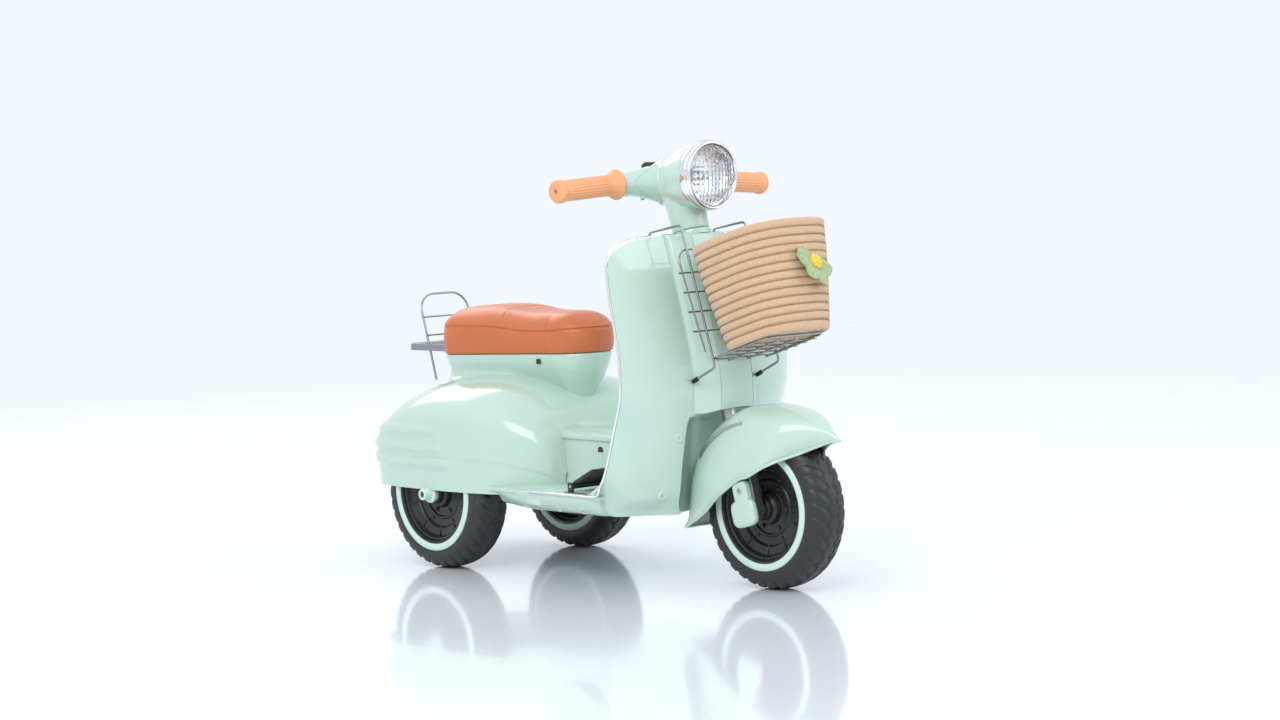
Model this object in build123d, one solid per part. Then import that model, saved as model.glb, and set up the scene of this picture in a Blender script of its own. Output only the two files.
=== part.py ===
"""A child's three-wheeled ride-on electric scooter in the style of a classic moped.

Axes: +X forwards, +Y to the rider's left, +Z up, millimetres. The model is worked out with x = 0 at the
front axle, and each file is written moved by CENTRE_SHIFT, so that the origin is the middle of the ground
area that the scooter covers. Names in capitals are driving sizes.
"""
from build123d import *
import math
import os

# ---------------------------------------------------------------- driving sizes
WHEEL_R = 105.0             # all three wheels
TYRE_HALF = 29.0
RING_R = 80.0
RING_WIDTH = 10.0
HUB_R = 66.0
WHEELBASE = 518.0
REAR_X = -WHEELBASE         # the rear axle; what stands over it is placed from here
RACK_BEHIND, FRONT_REACH = 182.0, 110.4
CENTRE_SHIFT = (WHEELBASE + RACK_BEHIND - FRONT_REACH) / 2   # front axle ahead of the middle

WALL = 3.0                  # moulded shells
COWL_HALF = 162.0           # the rear body at its widest
TYRE_SIDE_GAP = 7.5         # rear tyre to the rear body's wall
HALF_TRACK = COWL_HALF - WALL - TYRE_SIDE_GAP - TYRE_HALF

FRONT_AXLE_R = 5.0
REAR_AXLE_R = 6.0
RUN_CLEAR = 0.08            # radial running clearance of shafts in bushes and hubs
GAP = 0.3                   # seat clearance between separate mouldings

RAKE = 14.0                 # steering axis, degrees from vertical
NECK_X, NECK_Z = -140.0, 462.0   # where the steering axis leaves the leg shield
STEM_R = 9.5
HEAD_TUBE_R = 13.0
COLUMN_R = 22.0             # moulded sleeve round the head tube
ARCH_PROFILE = ((88, 60), (88, 122), (80, 146), (75, 170), (69, 195), (63, 226))  # arch radius at heights

SHIELD_HALF = 150.0
SHIELD_TOP = 455.0
SHIELD_CREST_X = -157.0     # just behind the shield's top edge, where the basket hooks on
HORN_HALF = 55.0
HORN_LOW = 238.0
HORN_PROUD = 6.0            # how far the horn cover stands in front of the shield
FLOOR_Z = 122.0
FLOOR_T = 5.0
FLOOR_FRONT, FLOOR_REAR = -172.0, REAR_X + 146
PAD_H = 0.8                 # raised foot pad on the floor's left half
TUNNEL_HALF, TUNNEL_TOP = 78.0, 196.0
TRAY_BOTTOM, TRAY_HALF = 92.0, SHIELD_HALF - 22
TRAY_FRONT, TRAY_REAR = -124.0, REAR_X + 118

SKIRT_Z = 112.0             # lower edge of the rear body
COWL_FRONT = REAR_X + 204
SEAT_PLANE = 292.0          # top of the seat tower
TOWER_NOSE, TOWER_BACK = REAR_X + 190, REAR_X - 70
TOWER_NOSE_R, TOWER_BACK_R, TOWER_BACK_HALF = 46.0, 36.0, 76.0

SEAT_CUSHION_H = 60.0
SEAT_OVERHANG = 4.0
SEAT_BASE_T = 5.0

FENDER_X, FENDER_Z = 9.0, 98.5
FENDER_R = 141.0
FENDER_HALF = 58.0
FENDER_SHOULDER = 36.0
FENDER_WALL = 2.5

BAR_X, BAR_Z = -192.0, 524.0
BAR_HALF = 188.0
GRIP_LEN = 108.0
GRIP_DROOP = 3.5
GRIP_R = 14.5
BAR_R = 9.0

LAMP_X, LAMP_Z = -95.0, 532.0
LAMP_R = 44.0

WIRE_R = 1.6                # basket uprights, tray rim and backrest
THIN_WIRE_R = 1.2
CARRIER_TILT = 17.0         # basket carrier leans back, degrees
CARRIER_X, CARRIER_Z = -46.0, 299.0    # bottom back corner of the carrier
UPRIGHT_HALF = 58.0
TRAY_WIRE_DEPTH = 96.0
ROPE = 7.0                  # rope wall thickness
BASKET_H = 138.0
BASKET_AHEAD = 66.0         # basket centre in front of the carrier's back
BASKET_BASE = (55.0, 64.0)  # half depth, half width
BASKET_RIM = (74.0, 82.0)

RACK_Z = 297.0
RACK_REAR, RACK_HALF = REAR_X - RACK_BEHIND, 48.0
PEDAL_X, PEDAL_LEN = -192.0, 46.0
PEDAL_SIDE_GAP = 12.0       # pedal to the tunnel and to the floor's edge
PEDAL_HALF = (SHIELD_HALF - TUNNEL_HALF) / 2 - PEDAL_SIDE_GAP
PEDAL_Y = 2 - TUNNEL_HALF - PEDAL_SIDE_GAP - PEDAL_HALF

tan_rake = math.tan(math.radians(RAKE))


def steer_x(z):
    """Where the steering axis is at height z."""
    return NECK_X + (NECK_Z - z) * tan_rake


AXIS_PLANE = Plane(origin=(NECK_X, 0, NECK_Z), x_dir=(math.cos(math.radians(RAKE)), 0,
                                                      math.sin(math.radians(RAKE))),
                   z_dir=(-math.sin(math.radians(RAKE)), 0, math.cos(math.radians(RAKE))))


def along_axis(z):
    """Distance along the steering axis from the neck to height z."""
    return (z - NECK_Z) / math.cos(math.radians(RAKE))


def rod(radius, z_low, z_high):
    """A solid cylinder on the steering axis between two heights."""
    low, high = along_axis(z_low), along_axis(z_high)
    return AXIS_PLANE * Pos(0, 0, (low + high) / 2) * Cylinder(radius, high - low)


def y_rod(radius, x, z, y_from, y_to):
    """A cylinder along Y."""
    return Pos(x, (y_from + y_to) / 2, z) * Rot(90, 0, 0) * Cylinder(radius, abs(y_to - y_from))


def wire(points, radius, bend):
    """A round wire through points, bent to one radius."""
    path = FilletPolyline(*points, radius=bend) if len(points) > 2 else Line(*points)
    start = Plane(origin=path @ 0, z_dir=path % 0)
    return sweep(start * Circle(radius), path=path)


def mirror_y(shape):
    return mirror(shape, about=Plane.XZ)


def both(shape):
    """The right-hand piece and its left-hand mirror, as separate solids."""
    return Compound(children=[shape, mirror_y(shape)])


os.makedirs("parts", exist_ok=True)


def save(name, shape):
    export_step(Pos(CENTRE_SHIFT, 0, 0) * shape, f"parts/{name}.step")


# ---------------------------------------------------------------- wheels
def tyre():
    """Hollow-moulded tyre with a flat seat for the coloured ring on each side."""
    seat = TYRE_HALF - 0.8
    half = [(HUB_R, TYRE_HALF - 5), (RING_R - RING_WIDTH, seat), (RING_R, seat), (RING_R + 4, TYRE_HALF),
            (WHEEL_R - 10, TYRE_HALF - 1.5), (WHEEL_R - 3, TYRE_HALF - 8), (WHEEL_R, TYRE_HALF - 20)]
    profile = Polyline(*half, *[(r, -y) for r, y in reversed(half)], close=True)
    return revolve(make_face(profile), Axis.Y)


def hub(bore):
    """Dished wheel disc with a rim, a web and a boss."""
    rim, boss, web = TYRE_HALF - 5, TYRE_HALF - 3, 4.0
    rim_r, boss_r = HUB_R - 6, 17.0
    half = [(bore, boss), (boss_r, boss), (boss_r + 3, web + 4), (rim_r - 18, web), (rim_r - 3, web + 9),
            (rim_r, rim), (HUB_R, rim)]
    profile = Polyline(*half, *[(r, -y) for r, y in reversed(half)], close=True)
    disc = revolve(make_face(profile), Axis.Y)
    studs = [Rot(0, 72 * i, 0) * y_rod(3.2, 28, 0, -web - 7, web + 7) for i in range(5)]
    return disc + studs


def rings():
    """One coloured ring on each side of a wheel."""
    inner, outer = TYRE_HALF - 0.8, TYRE_HALF + 1.2
    band = Rectangle(RING_WIDTH, outer - inner)
    return both(revolve(Pos(RING_R - RING_WIDTH / 2, -(inner + outer) / 2) * band, Axis.Y))


def wheel_at(x, y, bore, names):
    place = Pos(x, y, WHEEL_R)
    for name, shape in zip(names, (tyre(), hub(bore), rings())):
        save(name, place * shape)


wheel_at(0, 0, FRONT_AXLE_R + RUN_CLEAR, ("front_tyre", "front_hub", "front_rings"))
for side, word in ((-1, "right"), (1, "left")):
    wheel_at(REAR_X, side * HALF_TRACK, REAR_AXLE_R + RUN_CLEAR,
             (f"rear_tyre_{word}", f"rear_hub_{word}", f"rear_rings_{word}"))

# ---------------------------------------------------------------- fork and front axle
def fender_solid(radius, half, shoulder):
    """A wide wheel-like solid with rounded shoulders, turned about the fender's centre."""
    section = Pos(radius / 2, 0) * Rectangle(radius, 2 * half)
    section = fillet(section.vertices().filter_by(lambda v: v.X > radius - 1), shoulder)
    return Pos(FENDER_X, 0, FENDER_Z) * revolve(section, Axis.Y)


LEG_IN = TYRE_HALF + 4.5
LEG_OUT, LEG_HALF = LEG_IN + 12.5, 13.0
CROWN_IN, CROWN_T = WHEEL_R + 3, 5.0
BOSS_END = TYRE_HALF - 3      # outer face of a hub boss
SIDE_PLAY = 0.5             # between a hub boss and what it turns against

leg_outline = Plane.XZ * Pos(0, WHEEL_R) * Rot(0, 0, RAKE) * (
    Circle(LEG_HALF) + Pos(0, CROWN_IN / 2) * Rectangle(2 * LEG_HALF, CROWN_IN))
leg = Pos(0, -LEG_IN, 0) * extrude(leg_outline, amount=LEG_OUT - LEG_IN)
leg &= y_rod(CROWN_IN, 0, WHEEL_R, -LEG_OUT - 1, -LEG_IN + 1)
leg += y_rod(8, 0, WHEEL_R, -LEG_IN, -BOSS_END - SIDE_PLAY)
leg -= y_rod(FRONT_AXLE_R + 0.05, 0, WHEEL_R, -LEG_OUT - 1, -BOSS_END)
save("fork_legs", both(leg))

crown = y_rod(CROWN_IN + CROWN_T, 0, WHEEL_R, -LEG_OUT, LEG_OUT)
crown -= y_rod(CROWN_IN, 0, WHEEL_R, -LEG_OUT, LEG_OUT)
crown_keep = Plane.XZ * Pos(0, WHEEL_R) * Rot(0, 0, RAKE + 16) * Pos(0, CROWN_IN) * Rectangle(92, 60)
crown &= Pos(0, LEG_OUT, 0) * extrude(crown_keep, amount=2 * LEG_OUT)
fender_room = fender_solid(FENDER_R - FENDER_WALL, FENDER_HALF - FENDER_WALL, FENDER_SHOULDER - FENDER_WALL)
post = Plane.XZ * Pos(0, WHEEL_R) * Rot(0, 0, RAKE) * Pos(0, CROWN_IN + 22) * Rectangle(22, 42)
crown += (Pos(0, 14, 0) * extrude(post, amount=28)) & fender_room
STEM_SOCKET = 184.0         # height of the bottom of the stem's socket
stem_low = STEM_SOCKET
crown += rod(STEM_R + 5, stem_low, stem_low + 26) - y_rod(CROWN_IN, 0, WHEEL_R, -40, 40)
crown -= rod(STEM_R, stem_low + 8, stem_low + 60)
save("fork_crown", crown)

stem = rod(STEM_R, stem_low + 8, BAR_Z - 16) - rod(STEM_R - 2, stem_low + 20, BAR_Z)
save("steering_stem", stem)

save("front_axle", y_rod(FRONT_AXLE_R, 0, WHEEL_R, -LEG_OUT - 3, LEG_OUT + 3))

cover = fillet(Box(44, 12, 35).edges(), 5.5)
cover = Pos(-2, -LEG_OUT - 4, WHEEL_R - 2) * Rot(0, -RAKE, 0) * cover
cover -= y_rod(FRONT_AXLE_R + GAP, 0, WHEEL_R, -LEG_OUT - 3 - GAP, -LEG_OUT + 4)
cover -= Pos(0, 1, 0) * extrude(leg_outline, amount=LEG_OUT + 1)
save("fork_covers", both(cover))


# ---------------------------------------------------------------- front fender
fender = fender_solid(FENDER_R, FENDER_HALF, FENDER_SHOULDER)
fender -= fender_room
edge = Spline((-116, 76), (-60, 113), (0, 150), (60, 178), (118, 199))
fender_keep = make_face([edge, Polyline(edge @ 1, (180, 230), (180, 320), (-180, 320), (-180, 76), edge @ 0)])
fender &= extrude(Plane.XZ * fender_keep, amount=80, both=True)
fender -= rod(STEM_R + 6, stem_low - 6, stem_low + 84)
save("front_fender", fender)


# ---------------------------------------------------------------- leg shield
# height, x of the shield's side edge, x of the surface beside the horn cover
SHIELD_LEVELS = [(470, -146, -137), (430, -140, -126), (380, -134, -112), (330, -125, -99), (290, -120, -90),
                 (250, -120, -86), (210, -134, -90), (170, -148, -96), (135, -162, -100), (100, -178, -110)]
CROWN_RISE = 22.0           # the shield's middle stands this far in front of its flanks


def shield_band(z, edge_x, flank_x, ahead, thickness, half):
    """One level of the shield: a thin bow in plan, from edge to edge."""
    ys = [half, 0.72 * half, HORN_HALF, 0.5 * HORN_HALF]
    xs = [edge_x, edge_x + 0.42 * (flank_x - edge_x), flank_x, flank_x + 0.75 * CROWN_RISE]
    front = [(x + ahead, -y) for x, y in zip(xs, ys)] + [(flank_x + CROWN_RISE + ahead, 0)]
    front += [(x + ahead, y) for x, y in reversed(list(zip(xs, ys)))]
    back = [(x - thickness, y) for x, y in front]
    face = make_face([Spline(*front), Line(front[-1], back[-1]), Spline(*reversed(back)),
                      Line(back[0], front[0])])
    return Pos(0, 0, z) * face


def front_outline(top, half, low):
    """The shield seen from the front, cut out of a lofted sheet."""
    shape = Polyline((-half + 18, low), (-half, low + 32), (-half, top - 36), (-half + 12, top - 20),
                     (-half + 34, top - 10), (-60, top - 1), (60, top - 1), (half - 34, top - 10),
                     (half - 12, top - 20), (half, top - 36), (half, low + 32), (half - 18, low), close=True)
    return Pos(-400, 0, 0) * extrude(Plane.YZ * make_face(shape), amount=500)


arch_side = [(radius, along_axis(z)) for radius, z in ARCH_PROFILE]
arch_half = make_face(Polyline((0, arch_side[0][1]), *arch_side, (0, arch_side[-1][1]), close=True))
arch = AXIS_PLANE * revolve(Plane.XZ * arch_half, Axis.Z)
sheet = loft([shield_band(z, e, f, 0, WALL, SHIELD_HALF + 6) for z, e, f in SHIELD_LEVELS])
shield_front = (sheet & front_outline(SHIELD_TOP, SHIELD_HALF, 100)) - arch

horn = loft([shield_band(z, e, f, HORN_PROUD, HORN_PROUD, SHIELD_HALF + 6) for z, e, f in SHIELD_LEVELS])
horn_shape = Plane.YZ * Pos(0, (SHIELD_TOP + HORN_LOW) / 2) * RectangleRounded(2 * HORN_HALF,
                                                                               SHIELD_TOP - HORN_LOW, 8)
horn_outline = Pos(-400, 0, 0) * extrude(horn_shape, amount=500)
save("horn_cover", (horn & horn_outline) - arch)

# The rider's side of the shield: one bent sheet with a sleeve for the steering column.
inner_line = Spline((-152, 462), (-147, 420), (-141, 370), (-131, 320), (-127, 270), (-139, 215), (-156, 165),
                    (-170, 130))
inner_back = Spline(*[(x - WALL, z) for x, z in ((-152, 462), (-147, 420), (-141, 370), (-131, 320),
                                                 (-127, 270),
                                                 (-139, 215), (-156, 165), (-170, 130))])
inner_face = make_face([inner_line, Line(inner_line @ 1, inner_back @ 1), inner_back,
                        Line(inner_back @ 0, inner_line @ 0)])
inner = extrude(Plane.XZ * inner_face, amount=SHIELD_HALF - 1, both=True)
inner &= front_outline(SHIELD_TOP - 1, SHIELD_HALF - 1, 100)
inner += rod(COLUMN_R, 262, SHIELD_TOP + 1)
inner -= rod(COLUMN_R - WALL, 200, 480)
inner -= Pos(-16, 0, 0) * arch
save("leg_shield_inner", inner)

# ---------------------------------------------------------------- head tube and bushes
BUSH_LEN = 12.0
HEAD_LOW, HEAD_HIGH = 252.0, SHIELD_TOP - 6
head = rod(HEAD_TUBE_R, HEAD_LOW, HEAD_HIGH) - rod(HEAD_TUBE_R - 2, HEAD_LOW - 5, HEAD_HIGH + 5)
for z in (HEAD_LOW + 14, HEAD_HIGH - 14):
    head += rod(COLUMN_R - WALL, z, z + 5) - rod(HEAD_TUBE_R - 1, z - 5, z + 12)
save("head_tube", head)
bush_ring = [rod(HEAD_TUBE_R - 2, z, z + BUSH_LEN) - rod(STEM_R + RUN_CLEAR, z - 2, z + BUSH_LEN + 2)
             for z in (HEAD_LOW, HEAD_HIGH - BUSH_LEN)]
save("steering_bushes", Compound(children=bush_ring))

# ---------------------------------------------------------------- floor and chassis
pan = Pos((FLOOR_FRONT + FLOOR_REAR) / 2, 0, FLOOR_Z - FLOOR_T / 2) * Box(FLOOR_FRONT - FLOOR_REAR,
                                                                          2 * SHIELD_HALF, FLOOR_T)
TUNNEL_FRONT, TUNNEL_REAR = -176.0, REAR_X + 173
tunnel_len, tunnel_mid = TUNNEL_FRONT - TUNNEL_REAR, (TUNNEL_FRONT + TUNNEL_REAR) / 2
tunnel_h = TUNNEL_TOP - FLOOR_Z
tunnel = Pos(tunnel_mid, 0, FLOOR_Z + tunnel_h / 2) * Box(tunnel_len, 2 * TUNNEL_HALF, tunnel_h)
tunnel = fillet(tunnel.faces().sort_by(Axis.Z)[-1].edges().filter_by(Axis.X), 14)
tunnel_room = Pos(tunnel_mid, 0, FLOOR_Z + tunnel_h / 2 - WALL) * Box(tunnel_len - 2 * WALL,
                                                                      2 * (TUNNEL_HALF - WALL), tunnel_h)
tunnel_room = fillet(tunnel_room.faces().sort_by(Axis.Z)[-1].edges().filter_by(Axis.X), 11)
pan = pan + tunnel - tunnel_room - Pos(tunnel_mid, 0, FLOOR_Z - FLOOR_T) * Box(tunnel_len - 2 * WALL,
                                                                               2 * (TUNNEL_HALF
                                                                                    - WALL), 3 * FLOOR_T)
PAD_FRONT, PAD_REAR = FLOOR_FRONT - 18, COWL_FRONT + 14
PAD_INNER, PAD_OUTER = TUNNEL_HALF + 12, SHIELD_HALF - 8
pad_box = Box(PAD_FRONT - PAD_REAR, PAD_OUTER - PAD_INNER, PAD_H)
pad_box = fillet(pad_box.edges().filter_by(Axis.Z), 8)
pan += Pos((PAD_FRONT + PAD_REAR) / 2, (PAD_INNER + PAD_OUTER) / 2, FLOOR_Z + PAD_H / 2) * pad_box
save("floor_pan", pan)

tray_top = FLOOR_Z - FLOOR_T - GAP
tray_side = [(TRAY_REAR, TRAY_HALF), (TRAY_FRONT - 76, TRAY_HALF), (TRAY_FRONT - 36, TRAY_HALF - 16),
             (TRAY_FRONT - 16, TRAY_HALF - 44), (TRAY_FRONT, TRAY_HALF - 78)]
tray_outline = Polyline(*tray_side, *[(x, -y) for x, y in reversed(tray_side)], close=True)
tray = Pos(0, 0, TRAY_BOTTOM) * extrude(make_face(tray_outline), amount=tray_top - TRAY_BOTTOM)
tray -= Pos(0, 0, TRAY_BOTTOM + WALL) * extrude(offset(make_face(tray_outline), -WALL), amount=40)
for x in (-340, -285, -230):
    tray += Pos(x, 0, (TRAY_BOTTOM + tray_top) / 2) * Box(WALL, 2 * TRAY_HALF, tray_top - TRAY_BOTTOM)
tray -= arch
save("chassis_tray", tray)
pan_room = Pos((FLOOR_FRONT + FLOOR_REAR) / 2, 0, FLOOR_Z - FLOOR_T / 2) * Box(
    FLOOR_FRONT - FLOOR_REAR + 2 * GAP, 2 * SHIELD_HALF + 2, FLOOR_T + 2 * GAP)

AXLE_BOX_HALF, AXLE_BOX_H = 74.0, 30.0
axle_box_long = WHEELBASE + 30 + TRAY_REAR
axle_box_mid = TRAY_REAR - axle_box_long / 2
axle_box = Pos(axle_box_mid, 0, WHEEL_R + 2) * Box(axle_box_long, 2 * AXLE_BOX_HALF, AXLE_BOX_H)
axle_box -= Pos(axle_box_mid, 0, WHEEL_R + 2 + WALL) * Box(
    axle_box_long - 2 * WALL, 2 * (AXLE_BOX_HALF - WALL), AXLE_BOX_H)
for y in (-66, 66):
    axle_box += Pos(REAR_X, y, WHEEL_R) * Box(26, 14, 26)
axle_box += y_rod(9, REAR_X, WHEEL_R, HALF_TRACK - BOSS_END - SIDE_PLAY, AXLE_BOX_HALF - 2)
axle_box -= y_rod(REAR_AXLE_R + 0.05, REAR_X, WHEEL_R, -HALF_TRACK, HALF_TRACK)
save("rear_axle_carrier", axle_box)

CAP_IN = HALF_TRACK + BOSS_END + SIDE_PLAY
AXLE_END = CAP_IN + 15.5
save("rear_axle", y_rod(REAR_AXLE_R, REAR_X, WHEEL_R, -AXLE_END, AXLE_END))
cap = y_rod(12.5, REAR_X, WHEEL_R, -CAP_IN - 7, -CAP_IN)
cap += y_rod(6.9, REAR_X, WHEEL_R, -AXLE_END - 6, -CAP_IN - 6)
cap -= y_rod(REAR_AXLE_R + 0.05, REAR_X, WHEEL_R, -AXLE_END, -CAP_IN + 1)
cap -= y_rod(4, REAR_X, WHEEL_R, -AXLE_END - 7, -AXLE_END - 3)
save("rear_axle_caps", both(cap))

# ---------------------------------------------------------------- drive
GEARBOX_IN, GEARBOX_OUT = AXLE_BOX_HALF + GAP, HALF_TRACK - BOSS_END - SIDE_PLAY
gearbox_mid = -(GEARBOX_IN + GEARBOX_OUT) / 2
gearbox = Pos(REAR_X + 18, gearbox_mid, WHEEL_R + 16) * Box(74, GEARBOX_OUT - GEARBOX_IN, 62)
gearbox = fillet(gearbox.edges().filter_by(Axis.Y), 14)
gearbox -= y_rod(REAR_AXLE_R + 0.4, REAR_X, WHEEL_R, -120, -60)
save("gearbox", gearbox)
motor = y_rod(14, REAR_X + 32, WHEEL_R + 32, -GEARBOX_IN, -GEARBOX_IN + 38)
motor += y_rod(4, REAR_X + 32, WHEEL_R + 32, -GEARBOX_IN + 38, -GEARBOX_IN + 42)
save("drive_motor", motor)

# ---------------------------------------------------------------- rear body
# station ahead of the rear axle, width taken off the widest, top height, shoulder radius
BODY_LINES = [(COWL_FRONT - REAR_X, 40, 205, 52), (186, 22, 230, 62), (146, 10, 252, 72), (78, 2, 268, 78),
              (-2, 0, 270, 80), (-67, 0, 256, 78), (-104, 4, 236, 70), (-134, 19, 212, 58),
              (-162, 50, 184, 44), (-180, 90, 152, 28)]
BODY_STATIONS = [(REAR_X + ahead, COWL_HALF - off, top, shoulder) for ahead, off, top, shoulder in BODY_LINES]


def body_station(x, half, top, shoulder):
    corner = half - shoulder
    side = Line((half, SKIRT_Z), (half, top - shoulder))
    round_ = RadiusArc((half, top - shoulder), (corner, top), -shoulder)
    over = Line((corner, top), (-corner, top))
    round_2 = RadiusArc((-corner, top), (-half, top - shoulder), -shoulder)
    side_2 = Line((-half, top - shoulder), (-half, SKIRT_Z))
    base = Line((-half, SKIRT_Z), (half, SKIRT_Z))
    return Plane(origin=(x, 0, 0), x_dir=(0, 1, 0),
                 z_dir=(1, 0, 0)) * make_face([side, round_, over, round_2, side_2, base])


def tower_outline(grow):
    nose = Pos(TOWER_NOSE - TOWER_NOSE_R, 0) * Circle(TOWER_NOSE_R + grow)
    backs = [Pos(TOWER_BACK + TOWER_BACK_R, s * (TOWER_BACK_HALF - TOWER_BACK_R))
             * Circle(TOWER_BACK_R + grow)
             for s in (-1, 1)]
    return make_hull((nose + backs[0] + backs[1]).edges())


loaf = loft([body_station(*s) for s in BODY_STATIONS])
inner_stations = [(x, h - WALL, t - WALL, r - WALL) for x, h, t, r in BODY_STATIONS]
inner_stations[0] = (BODY_STATIONS[0][0] - WALL, *inner_stations[0][1:])
inner_stations[-1] = (BODY_STATIONS[-1][0] + WALL, *inner_stations[-1][1:])
loaf_room = loft([body_station(*s) for s in inner_stations])
TOWER_LOW = 150.0
# height and inset of the tower's side
WAIST = ((TOWER_LOW, -18), (205, -20), (235, -22), (268, -8), (SEAT_PLANE, 0))


def tower_solid(wall):
    """The seat tower, drawn in at the waist."""
    return loft([Pos(0, 0, z) * tower_outline(inset - wall) for z, inset in WAIST])


tower = tower_solid(0)
tower_room = tower_solid(WALL) + Pos(0, 0, SEAT_PLANE - 1) * extrude(tower_outline(-WALL), amount=9)
tower_room += Pos(0, 0, TOWER_LOW - 9) * extrude(tower_outline(WAIST[0][1] - WALL), amount=10)
body = (loaf + tower) - loaf_room - tower_room
floor_bite = Pos(FLOOR_REAR + 100, 0, 0) * Box(200, 2 * SHIELD_HALF + 2 * GAP, 2 * (FLOOR_Z + GAP))
body -= floor_bite
body -= Pos(tunnel_mid, 0, FLOOR_Z + tunnel_h / 2) * Box(tunnel_len + 2 * GAP, 2 * TUNNEL_HALF + 2 * GAP,
                                                         tunnel_h + 2 * GAP)
CLIP_X = TOWER_NOSE - 32
body -= y_rod(4.5, CLIP_X + 8, 236, -200, 200)
body -= Pos(CLIP_X, 0, SEAT_PLANE - 11) * Box(7, 400, 11)
half_space = Pos(REAR_X, -250, 200) * Box(1000, 500, 600)
save("rear_body_right", body & Pos(0, -GAP / 2, 0) * half_space)
save("rear_body_left", body - Pos(0, GAP / 2, 0) * half_space)

# ---------------------------------------------------------------- seat
seat_base = Pos(0, 0, SEAT_PLANE + GAP) * extrude(tower_outline(SEAT_OVERHANG - 2), amount=SEAT_BASE_T)
for s in (-1, 1):
    seat_base += Pos(CLIP_X, s * 32, SEAT_PLANE - 5) * Box(6, 3, 14)
for x in (TOWER_BACK + 28, TOWER_BACK + 168):
    seat_base += Pos(x, 0, SEAT_PLANE - 6) * Box(4, 60, 14)
save("seat_base", seat_base)
cushion_z = SEAT_PLANE + GAP + SEAT_BASE_T
cushion = Pos(0, 0, cushion_z) * extrude(tower_outline(SEAT_OVERHANG), amount=SEAT_CUSHION_H)
cushion = fillet(cushion.faces().sort_by(Axis.Z)[-1].edges(), 16)
save("seat_cushion", cushion)

# ---------------------------------------------------------------- rack and backrest
RACK_FRONT = TOWER_BACK - SEAT_OVERHANG - 1
rack_side = [(RACK_FRONT, RACK_HALF), (RACK_REAR + 16, RACK_HALF), (RACK_REAR, RACK_HALF - 16)]
rack_outline = Polyline(*rack_side, *[(x, -y) for x, y in reversed(rack_side)], close=True)
rack = Pos(0, 0, RACK_Z - 5) * extrude(make_face(rack_outline), amount=9)
for i in range(5):
    rack -= Pos((RACK_REAR + TOWER_BACK) / 2 - 6, -30 + 15 * i, RACK_Z) * Box(56, 8, 30)
HOOP_FOOT, HOOP_TOP = (REAR_X - 116, 250.0), (REAR_X - 150, 372.0)
HOOP_HALF = 43.0
HOOP_SLOT = 11.0            # longer than the wire needs, so that a load lies flat on the rack
hoop_lean = (HOOP_TOP[0] - HOOP_FOOT[0]) / (HOOP_TOP[1] - HOOP_FOOT[1])
hoop_slot_x = HOOP_FOOT[0] + hoop_lean * (RACK_Z - HOOP_FOOT[1]) - 2
rack += Pos(TOWER_BACK - GAP - 8, 0, RACK_Z - 14) * Box(16, 40, 18)

hoop_points = [(HOOP_FOOT[0], -HOOP_HALF, HOOP_FOOT[1]), (HOOP_TOP[0], -HOOP_HALF, HOOP_TOP[1]),
               (HOOP_TOP[0], HOOP_HALF, HOOP_TOP[1]), (HOOP_FOOT[0], HOOP_HALF, HOOP_FOOT[1])]
hoop = wire(hoop_points, WIRE_R, 26)
bars = []
for z in (314.0, 340.0):
    x = HOOP_FOOT[0] + hoop_lean * (z - HOOP_FOOT[1])
    bars.append(y_rod(THIN_WIRE_R, x + WIRE_R + THIN_WIRE_R, z, -HOOP_HALF - 2, HOOP_HALF + 2))
save("backrest", Compound(children=[hoop] + bars))
for side in (-1, 1):
    rack -= Pos(hoop_slot_x, side * HOOP_HALF, RACK_Z) * Box(HOOP_SLOT, 2 * WIRE_R + 0.2, 30)
save("rear_rack", rack)

# ---------------------------------------------------------------- handlebar and lamp
arm_len = BAR_HALF - GRIP_LEN
bar = y_rod(BAR_R, BAR_X, BAR_Z, -arm_len, arm_len)


def arm_place(side):
    """The drooping outer end of the bar, along local Z, starting where the grip starts."""
    return Pos(BAR_X, side * arm_len, BAR_Z) * Rot(side * -(90 + GRIP_DROOP), 0, 0)


def grip():
    half = [(BAR_R + 0.2, 2), (22, 2), (22, 5), (GRIP_R + 1, 12), (GRIP_R, 16), (GRIP_R, GRIP_LEN - 10)]
    half += [(GRIP_R + 2.5, GRIP_LEN - 8), (GRIP_R + 2.5, GRIP_LEN - 2), (GRIP_R, GRIP_LEN), (3, GRIP_LEN)]
    half += [(3, GRIP_LEN - 3), (BAR_R + 0.2, GRIP_LEN - 3)]
    return revolve(Plane.XZ * make_face(Polyline(*half, close=True)), Axis.Z)


for side in (-1, 1):
    bar += arm_place(side) * Pos(0, 0, (GRIP_LEN - 4) / 2 - 6) * Cylinder(BAR_R, GRIP_LEN + 4)
save("handlebar_tube", bar - rod(STEM_R + 0.1, 400, 560))
save("grip_right", arm_place(-1) * grip())
save("grip_left", arm_place(1) * grip())


def cone_between(a, b, ra, rb):
    """A straight cone from point a to point b."""
    d = Vector(*b) - Vector(*a)
    base = Plane(origin=a, z_dir=d)
    return base * Pos(0, 0, d.length / 2) * Cone(ra, rb, d.length)


NECK_LOW_Z = SHIELD_TOP + 4


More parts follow.
